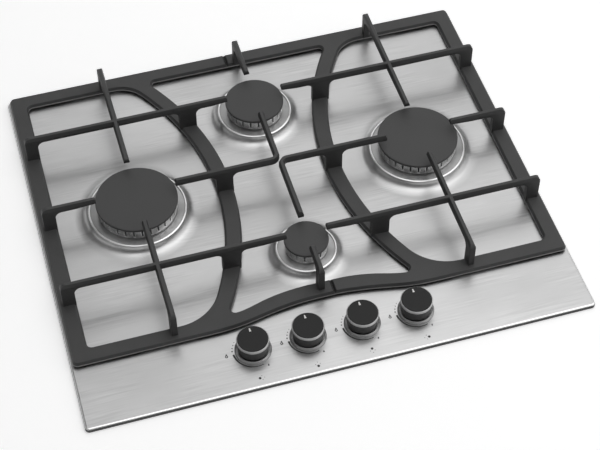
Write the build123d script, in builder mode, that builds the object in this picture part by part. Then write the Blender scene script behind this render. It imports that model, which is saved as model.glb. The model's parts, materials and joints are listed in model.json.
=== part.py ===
"""Built-in gas cooktop: four burners in a diamond, four knobs, two cast pan supports.

X runs to the right, Y to the back, Z up.  The origin is under the middle of the top plate,
on the underside of the bottom tray.  Unless a name says otherwise, a height is counted from
the plate's upper face.
"""

import os
from math import cos, pi, radians, sin, sqrt

from build123d import *

os.makedirs("parts", exist_ok=True)

# ---------------------------------------------------------------- driving dimensions (mm)

SHEET = 1.0                # pressed sheet of the plate and the tray
CUP_SHEET = 1.5
SEAT_GAP = 0.3             # gap under and round everything that lifts off
RUNNING_GAP = 0.05         # round a shaft that turns or slides
SOFT_EDGE = 1.2            # small rounds and bevels of castings

# Top plate
PLATE_W = 580.0
PLATE_D = 495.0
TOP = 48.0                 # the plate's upper face above the tray's underside
RIM_DROP = 5.0             # depth of the turned-down edge
EDGE_ROUND = 2.4
PLATE_CORNER = 5.0
TAP_HOLE_R = 9.0

# Burners: place, cap radius, slots in the crown, thickness of the crown, venturi and bowl radii
BURNERS = {
    "left": {"x": -172, "y": 27.5, "cap": 48, "slots": 30, "wall": 6, "venturi": 11, "bowl": 20},
    "right": {"x": 172, "y": 27.5, "cap": 48, "slots": 30, "wall": 6, "venturi": 11, "bowl": 20},
    "rear": {"x": 0, "y": 140, "cap": 35.5, "slots": 22, "wall": 6, "venturi": 11, "bowl": 20},
    "front": {"x": 0, "y": -84.5, "cap": 25.7, "slots": 16, "wall": 4.5, "venturi": 7.5, "bowl": 13},
}
RISE = 9.5                 # height of the concave rise round each burner
COVE_R = 12.0              # radius of its curve
CREST = 9.5                # its top, outside the cap's edge
LIP = 2.0                  # width of the rolled ring at the top of the rise
LIP_ROUND = 0.7
CUP_MOUTH = 6.0            # the cup's mouth is this much smaller than the cap
CUP_SHOULDER = -4.0        # where the cup's wall turns upright
CUP_FLOOR = -26.0
BOSS_R = 8.0
BOSS_FOOT = -42.0
JET_HEX = 5.0
JET_NOSE = 3.2
JET_NOSE_H = 3.0
JET_THREAD = 3.0
JET_THREAD_H = 7.0
JET_BORE = 0.6
PROBE_OUT = 2.0            # the spark plug and the sensor stand this far outside the cap
PROBE_HOLE = 3.3
IGNITER_TURN = 70          # degrees from +X, behind the cap
IGNITER_FOOT = -10.0
SENSOR_TURN = 110
CROWN_STEP = 1.2           # the head's crown is this much smaller than the cap
GROOVE = (1.6, 1.7)        # depth and height of the groove at the crown's foot
SKIRT_FOOT = 5.4
SKIRT_WALL = 2.2
VENTURI_FOOT = -12.0
VENTURI_WALL = 2.5
CHAMBER_FLOOR = 9.0
SLOT_W = 1.8
SLOT_FOOT = 13.5
CROWN_TOP = 22.2
CAP_TOP = 26.0
CAP_THICK = 3.5
SPIGOT = 3.4               # depth of the cap's locating ring
SPIGOT_WALL = 2.0

# Knobs and taps, from left to right
TAPS = {"left": -93.75, "front": -31.25, "rear": 31.25, "right": 93.75}
KNOB_Y = -197.5
PRESS_TRAVEL = 3.5
COLLAR_R = 20.5
COLLAR_BORE = 18.3
COLLAR_H = 4.2
COLLAR_FLOOR = 0.8
COLLAR_DEPTH = 2.4
COLLAR_EYE = 5.0
KNOB_R = 17.6
KNOB_TOP = 21.0
KNOB_FOOT = COLLAR_FLOOR + PRESS_TRAVEL + SEAT_GAP
KNOB_WALL = 2.0
KNOB_DRAFT = 0.3
KNOB_BEVEL = 0.8
HUB_R = 7.0
HUB_RIBS = 6
GRIP = 8.0                 # how far the spindle enters the hub
TRIM_R = 18.0
TRIM_W = 1.2
TRIM_LOW = 16.8
TRIM_HIGH = 20.2
SPINDLE_R = 4.0
SPINDLE_FLAT = 2.6
SPINDLE_FOOT = -33.5
PLUG_R = 6.0
PLUG_TOP = -14.0
PLUG_FOOT = -40.7
PLUG_FLOOR = 3.0
GAS_PORT = 1.6
SPRING_R = 5.4
SPRING_WIRE = 0.9
SPRING_TURNS = 4
SPRING_TOP = -5.5
WASHER_R = 7.2
WASHER = 1.2
TAP_W = 22.0
TAP_CORNER = 4.0
TAP_TOP = -14.5
TAP_FOOT = -43.0
SADDLE_W = 18.0
SADDLE_DROP = 6.0
OUTLET_HEX = 7.0
OUTLET = 8.0
SWITCH_W = 6.5
SWITCH_D = 16.0
SWITCH_H = 10.0
SWITCH_PIN = 4.0

# Gas line and wiring
RAIL_R = 7.0
RAIL_Y = -220.0
RAIL_Z = -19.0
RAIL_BEND = 24.0
RAIL_END = 18.0            # length of rail beyond the left tap
PIPE_R = 4.0
PIPE_Z = -36.0
PIPE_BEND = 14.0
PIPE_NUT = 6.0
PIPE_NUT_L = 9.0
PIPE_TURNS = {"left": (-118, -84), "right": (-118, -84), "front": (-152, -122), "rear": (40, 74)}
INLET_X = 252.0
INLET_Y = 212.0
INLET_R = 10.48            # half-inch pipe thread, outside radius
INLET_BORE = 6.5
INLET_FOOT = 1.0           # above the tray's underside
INLET_DEPTH = 20.0
INLET_HOLE = 13.5          # hole in the tray: room for a union nut on the stub
ELBOW_R = 13.0
ELBOW_FLANGE = (17.0, 2.5) # radius and thickness; it seats on the raised corner's floor
ELBOW_REACH = 18.5         # from the stub's axis to the end of the rail
ELBOW_ARM = 7.6
LEAD_R = 1.5
LEAD_Z = -18.0
LEAD_BEND = 12.0
LEAD_RISE_BEND = 5.0
LEAD_TURNS = {             # corners in plan between an output post and its burner
    "left": ((-221, 104), (-155, 104)),
    "front": ((-207, 150), (-60, 150), (-60, -20)),
    "rear": (),
    "right": ((-193, 188), (189, 188)),
}
GENERATOR = (-200.0, 172.0)
GENERATOR_W = 72.0
GENERATOR_D = 38.0
GENERATOR_H = 16.0
POST_PITCH = 14.0
POST_R = 3.4
POST_H = 5.0
TERMINALS_X = 192.0
TERMINALS_W = 26.0
TERMINALS_D = 42.0
TERMINALS_BASE = 5.0
TERMINALS_H = 12.0
TERMINALS_PITCH = 12.0

# Bottom tray
TRAY_W = 553.0
TRAY_D = 471.0
TRAY_CORNER = 12.0
TRAY_ROUND = 4.0
FLANGE = 5.0
SEAL_DROP = 5.5
NOTCH_X = 222.0            # the raised corner that the gas inlet comes out of
NOTCH_Y = 182.0
NOTCH_Z = -28.0
VENT = (44.0, 3.2)
VENT_PITCH = 9.0
VENT_ROWS = 5
VENT_SPREAD = (320.0, 260.0)
GLAND_Y = 192.5
GLAND_Z = -38.0
GLAND_BORE = 4.0
GLAND_NECK = 6.0
GLAND_FLANGE = (8.5, 3.0)  # radius and thickness
GLAND_NUT = (8.0, 5.0)
GLAND_NOSE = (6.5, 5.0)

# Worktop clamps, with heights above the tray's underside
CLAMP_Y = 120.0
CLAMP_SHEET = 1.5
CLAMP_W = 22.0
CLAMP_LOW = 5.0
CLAMP_LEG = 20.0
CLAMP_REACH = 11.0
CLAMP_HOOK = 12.5
CLAMP_SLOT = (8.0, 4.4)
SCREW_Z = 12.5
SCREW_HEAD = (3.8, 2.2)
SCREW_R = 2.1

# Pan supports
SUPPORT_X = 287.0          # outer edges of the frame
SUPPORT_BACK = 245.5
SUPPORT_FRONT = -168.0
SUPPORT_CORNER = 6.0
BAR_W = 20.0               # width of the frame's flat bar
FRAME_LOW = 1.6
FRAME_TOP = 8.0
FRAME_DRAFT = (2.2, 3.6)   # slope of the bar's sides: how far in, and how far down
FRAME_UNDERCUT = (1.0, 1.5)
RELIEF = 1.6               # depth of the shallow recesses under the frame
RELIEF_L = 64.0
RELIEF_X = 180.0
RELIEF_Y = (-62.0, 84.0)
ARCH_INNER = ((66.0, 8.4), (22.0, 14.4))              # distance from the middle, rise
ARCH_OUTER = ((30.0, 13.4), (64.0, 8.4), (130.0, 0.0))
ARCH = 14.4                # rise of the front bar in the middle
ARC_X = 400.0              # the two bowed members are arcs about these points
ARC_Y = 33.0
ARC_R = 323.5
BOW_FRONT = 56.0           # fillets where a bowed member meets the frame
BOW_BACK = 36.0
BOW_OPEN = 5.0             # and the rounds on its other side
RIB_W = 7.0
RIB_DRAFT = (1.7, 4.2)     # slope of a rib's sides below its narrow top
RIB_TOP = 43.0
RIB_LOW = 35.0
RIB_TIP_LOW = 37.0
RIB_SHOULDER = 7.0         # round of the outer end
RIB_TIP_ROUND = 2.5
POST_ROUND = 8.0           # where a post flares into its rib
POST_FLARE = 9.0
POST_LAP = 2.0             # how far a bent rib's post reaches up into it
ROOT = 4.0                 # how deep a post stands in the frame
RIB_END_X = 282.0
RIB_END_BACK = 234.0
RIB_END_FRONT = -161.0
RIB_BEND = 8.0
RIB_SHIFT = 1.0            # the bent ribs pass each other in the middle
SPLIT = 13.0               # the two halves part at this distance from the middle
SPLIT_GAP = 1.0
TIP_GAP = {"left": 47.0, "right": 40.0, "rear": 34.0, "front": 23.5}
FOOT_R = 4.0
FOOT_STEM = 2.0
FOOT_STEM_H = 3.0
FOOT_MIDDLE_Y = 12.0
FOOT_INNER_X = 120.0


def save(part, name):
    """Label one finished piece and write it."""
    part.label = name
    export_step(part, f"parts/{name}.step")


# ---------------------------------------------------------------- top plate

def plate_cavity():
    """The space under the plate's sheet, inside its turned-down edge."""
    with BuildPart() as cavity:
        with BuildSketch(Plane.XY.offset(TOP - RIM_DROP)):
            RectangleRounded(PLATE_W - 2 * SHEET, PLATE_D - 2 * SHEET, PLATE_CORNER - SHEET)
        extrude(amount=RIM_DROP - SHEET)
        fillet(cavity.faces().sort_by(Axis.Z)[-1].edges(), EDGE_ROUND - SHEET)
    return cavity.part


def cove_reach(radius, height):
    """How far inside its foot a curve of the rise stands at a given height."""
    return sqrt(radius**2 - (COVE_R - height) ** 2)


def rise_foot(burner):
    return burner["cap"] + CREST + cove_reach(COVE_R, RISE)


def rise_profile(foot):
    """Section of a rise: curve, rolled ring at the top, and the sheet's underside."""
    under = COVE_R + SHEET
    shoulder = RISE - LIP_ROUND
    shoulder_r = foot - cove_reach(COVE_R, shoulder)
    ease = LIP_ROUND * (1 - sin(pi / 4))
    lip = foot - cove_reach(COVE_R, RISE) - LIP
    with BuildLine() as outline:
        ThreePointArc(
            (foot, 0),
            (foot - cove_reach(COVE_R, RISE / 2), RISE / 2),
            (shoulder_r, shoulder),
        )
        ThreePointArc(
            (shoulder_r, shoulder),
            (shoulder_r - ease, RISE - ease),
            (shoulder_r - LIP_ROUND, RISE),
        )
        Polyline(
            (shoulder_r - LIP_ROUND, RISE),
            (lip, RISE),
            (lip, RISE - SHEET),
            (foot - cove_reach(under, RISE - SHEET), RISE - SHEET),
        )
        ThreePointArc(
            (foot - cove_reach(under, RISE - SHEET), RISE - SHEET),
            (foot - cove_reach(under, RISE / 2), RISE / 2),
            (foot, -SHEET),
        )
        Line((foot, -SHEET), (foot, 0))
    return outline.line


def make_top_plate():
    """Pressed sheet with a rounded edge and a concave rise round each burner.

    Each rise is a solid of its own, which meets the flat sheet along the foot of its curve.
    """
    with BuildPart() as sheet:
        with BuildSketch(Plane.XY.offset(TOP - RIM_DROP)):
            RectangleRounded(PLATE_W, PLATE_D, PLATE_CORNER)
        extrude(amount=RIM_DROP)
        fillet(sheet.faces().sort_by(Axis.Z)[-1].edges(), EDGE_ROUND)
        add(plate_cavity(), mode=Mode.SUBTRACT)
        for burner in BURNERS.values():
            with BuildSketch(burner_level(burner, 0)):
                Circle(rise_foot(burner))
            extrude(amount=-SHEET, mode=Mode.SUBTRACT)
        with BuildSketch(Plane.XY.offset(TOP)):
            with Locations(*[(x, KNOB_Y) for x in TAPS.values()]):
                Circle(TAP_HOLE_R)
        extrude(amount=-SHEET, mode=Mode.SUBTRACT)
    with BuildPart() as rises:
        for burner in BURNERS.values():
            with BuildSketch(burner_plane(burner)):
                add(rise_profile(rise_foot(burner)))
                make_face()
            revolve(axis=burner_axis(burner))
    save(Compound([*sheet.part.solids(), *rises.part.solids()]), "top_plate")


def make_rim_seal():
    """Foam strip under the rim, which beds the cooktop on the worktop."""
    with BuildPart() as seal:
        with BuildSketch(Plane.XY.offset(TOP - SEAL_DROP)):
            RectangleRounded(
                PLATE_W - 2 * EDGE_ROUND, PLATE_D - 2 * EDGE_ROUND, PLATE_CORNER - EDGE_ROUND
            )
            Rectangle(
                TRAY_W + 2 * FLANGE + SHEET, TRAY_D + 2 * FLANGE + SHEET, mode=Mode.SUBTRACT
            )
        extrude(amount=SEAL_DROP - SHEET)
    save(seal.part, "rim_seal")


# ---------------------------------------------------------------- bottom tray

def tray_block(inset):
    """The tray's outer shape, or its inside when inset by the sheet."""
    with BuildPart() as block:
        with BuildSketch(Plane.XY.offset(inset)):
            RectangleRounded(TRAY_W - 2 * inset, TRAY_D - 2 * inset, TRAY_CORNER - inset)
        extrude(amount=TOP - SHEET - inset)
        fillet(block.faces().sort_by(Axis.Z)[0].edges(), TRAY_ROUND - inset)
        with BuildSketch(Plane.XY.offset(-SHEET)):
            with Locations((NOTCH_X - inset, NOTCH_Y - inset)):
                Rectangle(TRAY_W / 2, TRAY_D / 2, align=(Align.MIN, Align.MIN))
        extrude(amount=TOP + NOTCH_Z + SHEET + inset, mode=Mode.SUBTRACT)
    return block.part


def make_bottom_tray():
    """Sheet-steel tray with a top flange and one raised corner for the gas inlet."""
    with BuildPart() as tray:
        add(tray_block(0))
        with BuildSketch(Plane.XY.offset(TOP - 2 * SHEET)):
            RectangleRounded(TRAY_W + 2 * FLANGE, TRAY_D + 2 * FLANGE, TRAY_CORNER)
        extrude(amount=SHEET)
        add(tray_block(SHEET), mode=Mode.SUBTRACT)
        with BuildSketch(Plane.XY.offset(TOP + NOTCH_Z)):
            with Locations((INLET_X, INLET_Y)):
                Circle(INLET_HOLE)
        extrude(amount=SHEET, mode=Mode.SUBTRACT)
        with BuildSketch(Plane.YZ.offset(NOTCH_X)):
            with Locations((GLAND_Y, TOP + GLAND_Z)):
                Circle(GLAND_NECK)
        extrude(amount=-SHEET, mode=Mode.SUBTRACT)
        with BuildSketch(Plane.XY):
            with GridLocations(*VENT_SPREAD, 2, 2):
                with GridLocations(0, VENT_PITCH, 1, VENT_ROWS):
                    SlotOverall(*VENT)
        extrude(amount=SHEET, mode=Mode.SUBTRACT)
    save(tray.part, "bottom_tray")


# ---------------------------------------------------------------- burners

def burner_plane(burner):
    """Upright plane through a burner's axis, with heights counted from the plate's face."""
    return Plane((burner["x"], burner["y"], TOP), x_dir=(1, 0, 0), z_dir=(0, -1, 0))


def burner_level(burner, height):
    """Flat plane on a burner's axis."""
    return Plane((burner["x"], burner["y"], TOP + height))


def burner_axis(burner):
    return Axis((burner["x"], burner["y"], TOP), (0, 0, 1))


def make_burner_cup(name, burner):
    """Pressed cup under the plate: it holds the injector and carries the head."""
    ring_top = RISE - SHEET
    flange = burner["cap"] + CREST - SHEET
    flange_low = ring_top - CUP_SHEET
    mouth = burner["cap"] - CUP_MOUTH
    bowl = burner["bowl"]
    with BuildPart() as cup:
        with BuildSketch(burner_plane(burner)):
            with BuildLine():
                Polyline(
                    (0, BOSS_FOOT),
                    (BOSS_R, BOSS_FOOT),
                    (BOSS_R, CUP_FLOOR),
                    (bowl, CUP_FLOOR),
                    (mouth + CUP_SHEET, CUP_SHOULDER),
                    (mouth + CUP_SHEET, flange_low),
                    (flange, flange_low),
                    (flange, ring_top),
                    (mouth, ring_top),
                    (mouth, CUP_SHOULDER + CUP_SHEET / 2),
                    (bowl - CUP_SHEET, CUP_FLOOR + CUP_SHEET),
                    (0, CUP_FLOOR + CUP_SHEET),
                    close=True,
                )
            make_face()
        revolve(axis=burner_axis(burner))
        with BuildSketch(burner_level(burner, ring_top)):
            with PolarLocations(
                burner["cap"] + PROBE_OUT,
                2,
                start_angle=IGNITER_TURN,
                angular_range=SENSOR_TURN - IGNITER_TURN,
                endpoint=True,
            ):
                Circle(PROBE_HOLE)
        extrude(amount=-CUP_SHEET, mode=Mode.SUBTRACT)
        with BuildSketch(burner_level(burner, CUP_FLOOR + CUP_SHEET)):
            Circle(JET_THREAD)
        extrude(amount=-JET_THREAD_H - SHEET, mode=Mode.SUBTRACT)
    save(cup.part, f"burner_cup_{name}")


def make_injectors():
    """Brass jets, one screwed into the floor of each cup."""
    floor = CUP_FLOOR + CUP_SHEET
    with BuildPart() as jets:
        for burner in BURNERS.values():
            with BuildSketch(burner_level(burner, floor)):
                RegularPolygon(JET_HEX, 6)
            extrude(amount=JET_HEX)
            with BuildSketch(burner_level(burner, floor)):
                Circle(JET_THREAD)
            extrude(amount=-JET_THREAD_H)
            with BuildSketch(burner_level(burner, floor + JET_HEX)):
                Circle(JET_NOSE)
            extrude(amount=JET_NOSE_H, taper=15)
            with BuildSketch(burner_level(burner, floor + JET_HEX + JET_NOSE_H)):
                Circle(JET_BORE)
            extrude(amount=-JET_HEX - JET_THREAD_H, mode=Mode.SUBTRACT)
    save(jets.part, "injectors")


def probe_places(angle):
    """Where one probe stands at each burner, at an angle behind the cap."""
    turn = radians(angle)
    for burner in BURNERS.values():
        reach = burner["cap"] + PROBE_OUT
        yield burner["x"] + reach * cos(turn), burner["y"] + reach * sin(turn)


def make_igniters():
    """Ceramic spark plugs with a steel pin, one behind each head."""
    shoulder = RISE - SHEET - CUP_SHEET
    neck, pin_top = 13.0, 17.5
    body_r, shoulder_r, pin_r = 2.6, 4.2, 0.8
    with BuildPart() as plugs:
        for x, y in probe_places(IGNITER_TURN):
            with BuildSketch(Plane((x, y, TOP + IGNITER_FOOT))):
                Circle(body_r)
            extrude(amount=neck - IGNITER_FOOT)
            with BuildSketch(Plane((x, y, TOP + shoulder))):
                Circle(shoulder_r)
            extrude(amount=-2 * CUP_SHEET)
            with BuildSketch(Plane((x, y, TOP + neck))):
                Circle(pin_r)
            extrude(amount=pin_top - neck)
    save(plugs.part, "igniters")


def make_thermocouples():
    """Flame sensors with a hexagonal nut, one behind each head."""
    shoulder = RISE - SHEET - CUP_SHEET
    foot, tip = -14.0, 17.0
    rod_r, nut_r, nut_h = 1.8, 4.4, 4.0
    with BuildPart() as probes:
        for x, y in probe_places(SENSOR_TURN):
            with BuildSketch(Plane((x, y, TOP + foot))):
                Circle(rod_r)
            extrude(amount=tip - foot, taper=0.8)
            with BuildSketch(Plane((x, y, TOP + shoulder))):
                RegularPolygon(nut_r, 6)
            extrude(amount=-nut_h)
    save(probes.part, "thermocouples")


def make_burner_head(name, burner):
    """Cast head: slotted crown over a groove, skirt and venturi tube."""
    base = RISE - SHEET + SEAT_GAP
    groove_in, groove_up = GROOVE
    crown = burner["cap"] - CROWN_STEP
    foot = crown - groove_in
    inner = crown - burner["wall"]
    skirt = burner["cap"] - CUP_MOUTH - 2 * SEAT_GAP
    tube = burner["venturi"]
    throat = tube - VENTURI_WALL
    with BuildPart() as head:
        with BuildSketch(burner_plane(burner)):
            with BuildLine():
                Polyline(
                    (throat, VENTURI_FOOT),
                    (tube, VENTURI_FOOT),
                    (tube - 1, CUP_SHOULDER),
                    (tube, -CUP_SHOULDER),
                    (skirt - SKIRT_WALL, SKIRT_FOOT + CUP_SHEET),
                    (skirt - SKIRT_WALL, SKIRT_FOOT),
                    (skirt, SKIRT_FOOT),
                    (skirt, base),
                    (foot, base),
                    (foot, base + groove_up),
                    (crown, base + groove_up),
                    (crown, CROWN_TOP),
                    (inner, CROWN_TOP),
                    (inner, CHAMBER_FLOOR + VENTURI_WALL),
                    (tube + SOFT_EDGE, CHAMBER_FLOOR),
                    (throat, CHAMBER_FLOOR),
                    (throat - 1, CUP_SHOULDER),
                    close=True,
                )
            make_face()
        revolve(axis=burner_axis(burner))
        with BuildSketch(burner_level(burner, SLOT_FOOT)):
            with PolarLocations((crown + inner) / 2, burner["slots"]):
                Rectangle(crown - inner + SLOT_W, SLOT_W)
        extrude(amount=CROWN_TOP, mode=Mode.SUBTRACT)
    save(head.part, f"burner_head_{name}")


def make_burner_cap(name, burner):
    """Enamelled cap: a flat disc with a rounded edge and a locating ring below."""
    cap = burner["cap"]
    low = CAP_TOP - CAP_THICK
    spigot = cap - CROWN_STEP - burner["wall"] - SEAT_GAP
    ease = SOFT_EDGE * (1 - sin(pi / 4))
    with BuildPart() as lid:
        with BuildSketch(burner_plane(burner)):
            with BuildLine():
                Line((0, CAP_TOP), (cap - SOFT_EDGE, CAP_TOP))
                ThreePointArc(
                    (cap - SOFT_EDGE, CAP_TOP), (cap - ease, CAP_TOP - ease), (cap, CAP_TOP - SOFT_EDGE)
                )
                Polyline(
                    (cap, CAP_TOP - SOFT_EDGE),
                    (cap, low + SOFT_EDGE / 2),
                    (cap - SOFT_EDGE / 2, low),
                    (spigot, low),
                    (spigot, low - SPIGOT),
                    (spigot - SPIGOT_WALL, low - SPIGOT),
                    (spigot - SPIGOT_WALL, low + 1),
                    (0, low + 1),
                    (0, CAP_TOP),
                )
            make_face()
        revolve(axis=burner_axis(burner))
    save(lid.part, f"burner_cap_{name}")


# ---------------------------------------------------------------- knobs and taps

def tap_plane(x):
    """Upright plane through a tap's axis, with heights counted from the plate's face."""
    return Plane((x, KNOB_Y, TOP), x_dir=(1, 0, 0), z_dir=(0, -1, 0))


def tap_axis(x):
    return Axis((x, KNOB_Y, TOP), (0, 0, 1))


def tap_level(x, height):
    """Flat plane on a tap's axis."""
    return Plane((x, KNOB_Y, TOP + height))


def tap_back(x, y, height):
    """Upright plane that faces the back, straight behind or in front of a tap's axis."""
    return Plane((x, y, TOP + height), x_dir=(1, 0, 0), z_dir=(0, 1, 0))


def spindle_section(gap):
    """Round bar with one flat."""
    with BuildSketch() as section:
        Circle(SPINDLE_R + gap)
        with Locations((0, SPINDLE_FLAT + gap)):
            Rectangle(
                4 * SPINDLE_R, 2 * SPINDLE_R, align=(Align.CENTER, Align.MIN), mode=Mode.SUBTRACT
            )
    return section.sketch


def make_collars():
    """Low rings round the knobs, each with a spigot in its hole in the plate."""
    with BuildPart() as collars:
        for x in TAPS.values():
            with BuildSketch(tap_plane(x)):
                with BuildLine():
                    Polyline(
                        (COLLAR_EYE, -COLLAR_DEPTH),
                        (TAP_HOLE_R, -COLLAR_DEPTH),
                        (TAP_HOLE_R, 0),
                        (COLLAR_R, 0),
                        (COLLAR_R, COLLAR_H - SOFT_EDGE),
                        (COLLAR_R - SOFT_EDGE, COLLAR_H),
                        (COLLAR_BORE, COLLAR_H),
                        (COLLAR_BORE, COLLAR_FLOOR),
                        (COLLAR_EYE, COLLAR_FLOOR),
                        close=True,
                    )
                make_face()
            revolve(axis=tap_axis(x))
    save(collars.part, "knob_collars")


def make_knob(name, x):
    """Moulded knob: thin-walled drum with a ribbed hub that grips the spindle."""
    ceiling = TRIM_LOW - 1
    hub_foot = KNOB_FOOT + 2 * SEAT_GAP
    groove = TRIM_R - TRIM_W
    inner = KNOB_R - KNOB_WALL
    with BuildPart() as knob:
        with BuildSketch(tap_plane(x)):
            with BuildLine():
                Polyline(
                    (0, KNOB_TOP),
                    (KNOB_R - KNOB_BEVEL, KNOB_TOP),
                    (groove + KNOB_BEVEL / 2, TRIM_HIGH),
                    (groove, TRIM_HIGH),
                    (groove, TRIM_LOW),
                    (KNOB_R, TRIM_LOW),
                    (KNOB_R - KNOB_DRAFT, KNOB_FOOT),
                    (inner, KNOB_FOOT),
                    (inner, ceiling),
                    (0, ceiling),
                    close=True,
                )
            make_face()
        revolve(axis=tap_axis(x))
        with BuildSketch(tap_level(x, hub_foot)):
            Circle(HUB_R)
            with PolarLocations((HUB_R + inner) / 2, HUB_RIBS):
                Rectangle(inner - HUB_R + 1, KNOB_WALL / 2)
        extrude(amount=ceiling - hub_foot)
        with BuildSketch(tap_level(x, hub_foot)):
            add(spindle_section(0))
        extrude(amount=GRIP, mode=Mode.SUBTRACT)
    save(knob.part, f"knob_{name}")


def make_knob_ring(name, x):
    """Bright trim ring let into the knob under its top."""
    inner = TRIM_R - TRIM_W
    bevel = TRIM_W / 2
    with BuildPart() as ring:
        with BuildSketch(tap_plane(x)):
            with BuildLine():
                Polyline(
                    (inner, TRIM_LOW),
                    (TRIM_R, TRIM_LOW),
                    (TRIM_R, TRIM_HIGH - bevel),
                    (TRIM_R - bevel, TRIM_HIGH),
                    (inner, TRIM_HIGH),
                    close=True,
                )
            make_face()
        revolve(axis=tap_axis(x))
    save(ring.part, f"knob_ring_{name}")


def make_spindle(name, x):
    """Steel spindle with a flat and a spring washer; it slides in the plug."""
    top = KNOB_FOOT + 2 * SEAT_GAP + GRIP
    with BuildPart() as spindle:
        with BuildSketch(tap_level(x, SPINDLE_FOOT)):
            add(spindle_section(0))
        extrude(amount=top - SPINDLE_FOOT)
        with BuildSketch(tap_level(x, SPRING_TOP)):
            Circle(WASHER_R)
        extrude(amount=WASHER)
    save(spindle.part, f"tap_spindle_{name}")


def make_plug(name, x):
    """Rotary plug of the tap, with a socket for the spindle and a gas port."""
    with BuildPart() as plug:
        with BuildSketch(tap_level(x, PLUG_FOOT)):
            Circle(PLUG_R)
        extrude(amount=PLUG_TOP - PLUG_FOOT)
        with BuildSketch(tap_level(x, PLUG_TOP)):
            add(spindle_section(RUNNING_GAP))
        extrude(amount=PLUG_FOOT + PLUG_FLOOR - PLUG_TOP, mode=Mode.SUBTRACT)
        with BuildSketch(tap_back(x, KNOB_Y, PIPE_Z)):
            Circle(GAS_PORT)
        extrude(amount=2 * PLUG_R, mode=Mode.SUBTRACT)
    save(plug.part, f"tap_plug_{name}")


def make_spring(name, x):
    """Return spring: one unbroken coil between the plug and the spindle's washer."""
    rise = SPRING_TOP - PLUG_TOP - SPRING_WIRE
    pitch = rise / SPRING_TURNS
    with BuildPart() as spring:
        with BuildLine(tap_level(x, PLUG_TOP + SPRING_WIRE / 2)) as path:
            Helix(pitch=pitch, height=rise, radius=SPRING_R)
        with BuildSketch(Plane(path.line @ 0, z_dir=path.line % 0)):
            RegularPolygon(SPRING_WIRE / 2, 6)
        sweep(path=path.line, is_frenet=True)
    save(spring.part, f"tap_spring_{name}")
    return pitch - SPRING_WIRE


def make_tap_body(name, x):
    """Brass tap: square body, saddle on the gas rail, outlet to the back."""
    saddle_low = RAIL_Z - SADDLE_DROP
    with BuildPart() as tap:
        with BuildSketch(tap_level(x, TAP_FOOT)):
            RectangleRounded(TAP_W, TAP_W, TAP_CORNER)
        extrude(amount=TAP_TOP - TAP_FOOT)
        with BuildSketch(Plane((x, RAIL_Y, TOP + saddle_low))):
            Rectangle(SADDLE_W, KNOB_Y - RAIL_Y, align=(Align.CENTER, Align.MIN))
        extrude(amount=TAP_TOP - saddle_low)
        with BuildSketch(tap_back(x, KNOB_Y, PIPE_Z)):
            RegularPolygon(OUTLET_HEX, 6)
        extrude(amount=TAP_W / 2 + OUTLET)
        with BuildSketch(
            Plane((x - TAP_W, RAIL_Y, TOP + RAIL_Z), x_dir=(0, 1, 0), z_dir=(1, 0, 0))
        ):
            Circle(RAIL_R)
        extrude(amount=2 * TAP_W, mode=Mode.SUBTRACT)
        with BuildSketch(tap_level(x, TAP_TOP)):
            Circle(PLUG_R + RUNNING_GAP)
        extrude(amount=PLUG_FOOT - SEAT_GAP - TAP_TOP, mode=Mode.SUBTRACT)
    save(tap.part, f"tap_body_{name}")


def make_switches():
    """Ignition microswitches, one on the side of each tap."""
    low = TAP_TOP - SWITCH_H - 1
    button = (2.2, 3.0)
    button_y, button_h = 3.0, 1.6
    tongue = (0.8, 2.4)
    tongue_pitch = 5.0
    with BuildPart() as switches:
        for x in TAPS.values():
            side = x + TAP_W / 2
            middle = side + SWITCH_W / 2
            with BuildSketch(tap_level(side, low)):
                Rectangle(SWITCH_W, SWITCH_D, align=(Align.MIN, Align.CENTER))
            extrude(amount=SWITCH_H)
            with BuildSketch(tap_level(middle, low + SWITCH_H)):
                with Locations((0, button_y)):
                    Rectangle(*button)
            extrude(amount=button_h)
            with BuildSketch(tap_level(middle, low)):
                with GridLocations(0, tongue_pitch, 1, 3):
                    Rectangle(*tongue)
            extrude(amount=-SWITCH_PIN)
    save(switches.part, "ignition_switches")


# ---------------------------------------------------------------- gas line and wiring

def make_gas_rail():
    """Supply tube: along the front under the knobs, then back to the inlet."""
    height = TOP + RAIL_Z
    with BuildPart() as rail:
        with BuildLine() as path:
            FilletPolyline(
                (TAPS["left"] - RAIL_END, RAIL_Y, height),
                (INLET_X, RAIL_Y, height),
                (INLET_X, INLET_Y - ELBOW_REACH, height),
                radius=RAIL_BEND,
            )
        with BuildSketch(Plane(path.line @ 0, z_dir=path.line % 0)):
            Circle(RAIL_R)
        sweep(path=path.line)
    save(rail.part, "gas_rail")


def make_inlet_elbow():
    """Inlet elbow: its threaded stub points down out of the tray's raised corner."""
    floor = TOP + NOTCH_Z + SHEET
    flange_r, flange_t = ELBOW_FLANGE
    with BuildPart() as elbow:
        with BuildSketch(Plane((INLET_X, INLET_Y, floor))):
            Circle(ELBOW_R)
        extrude(amount=TOP + RAIL_Z + RAIL_R + 1 - floor)
        with BuildSketch(Plane((INLET_X, INLET_Y, floor))):
            Circle(flange_r)
        extrude(amount=flange_t)
        with BuildSketch(tap_back(INLET_X, INLET_Y - ELBOW_REACH, RAIL_Z)):
            Circle(ELBOW_ARM)
        extrude(amount=ELBOW_REACH)
        with BuildSketch(Plane((INLET_X, INLET_Y, INLET_FOOT))):
            Circle(INLET_R)
        extrude(amount=floor - INLET_FOOT)
        chamfer(elbow.faces().sort_by(Axis.Z)[0].edges(), 1.0)
        with BuildSketch(Plane((INLET_X, INLET_Y, INLET_FOOT))):
            Circle(INLET_BORE)
        extrude(amount=INLET_DEPTH, mode=Mode.SUBTRACT)
    save(elbow.part, "inlet_elbow")


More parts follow.
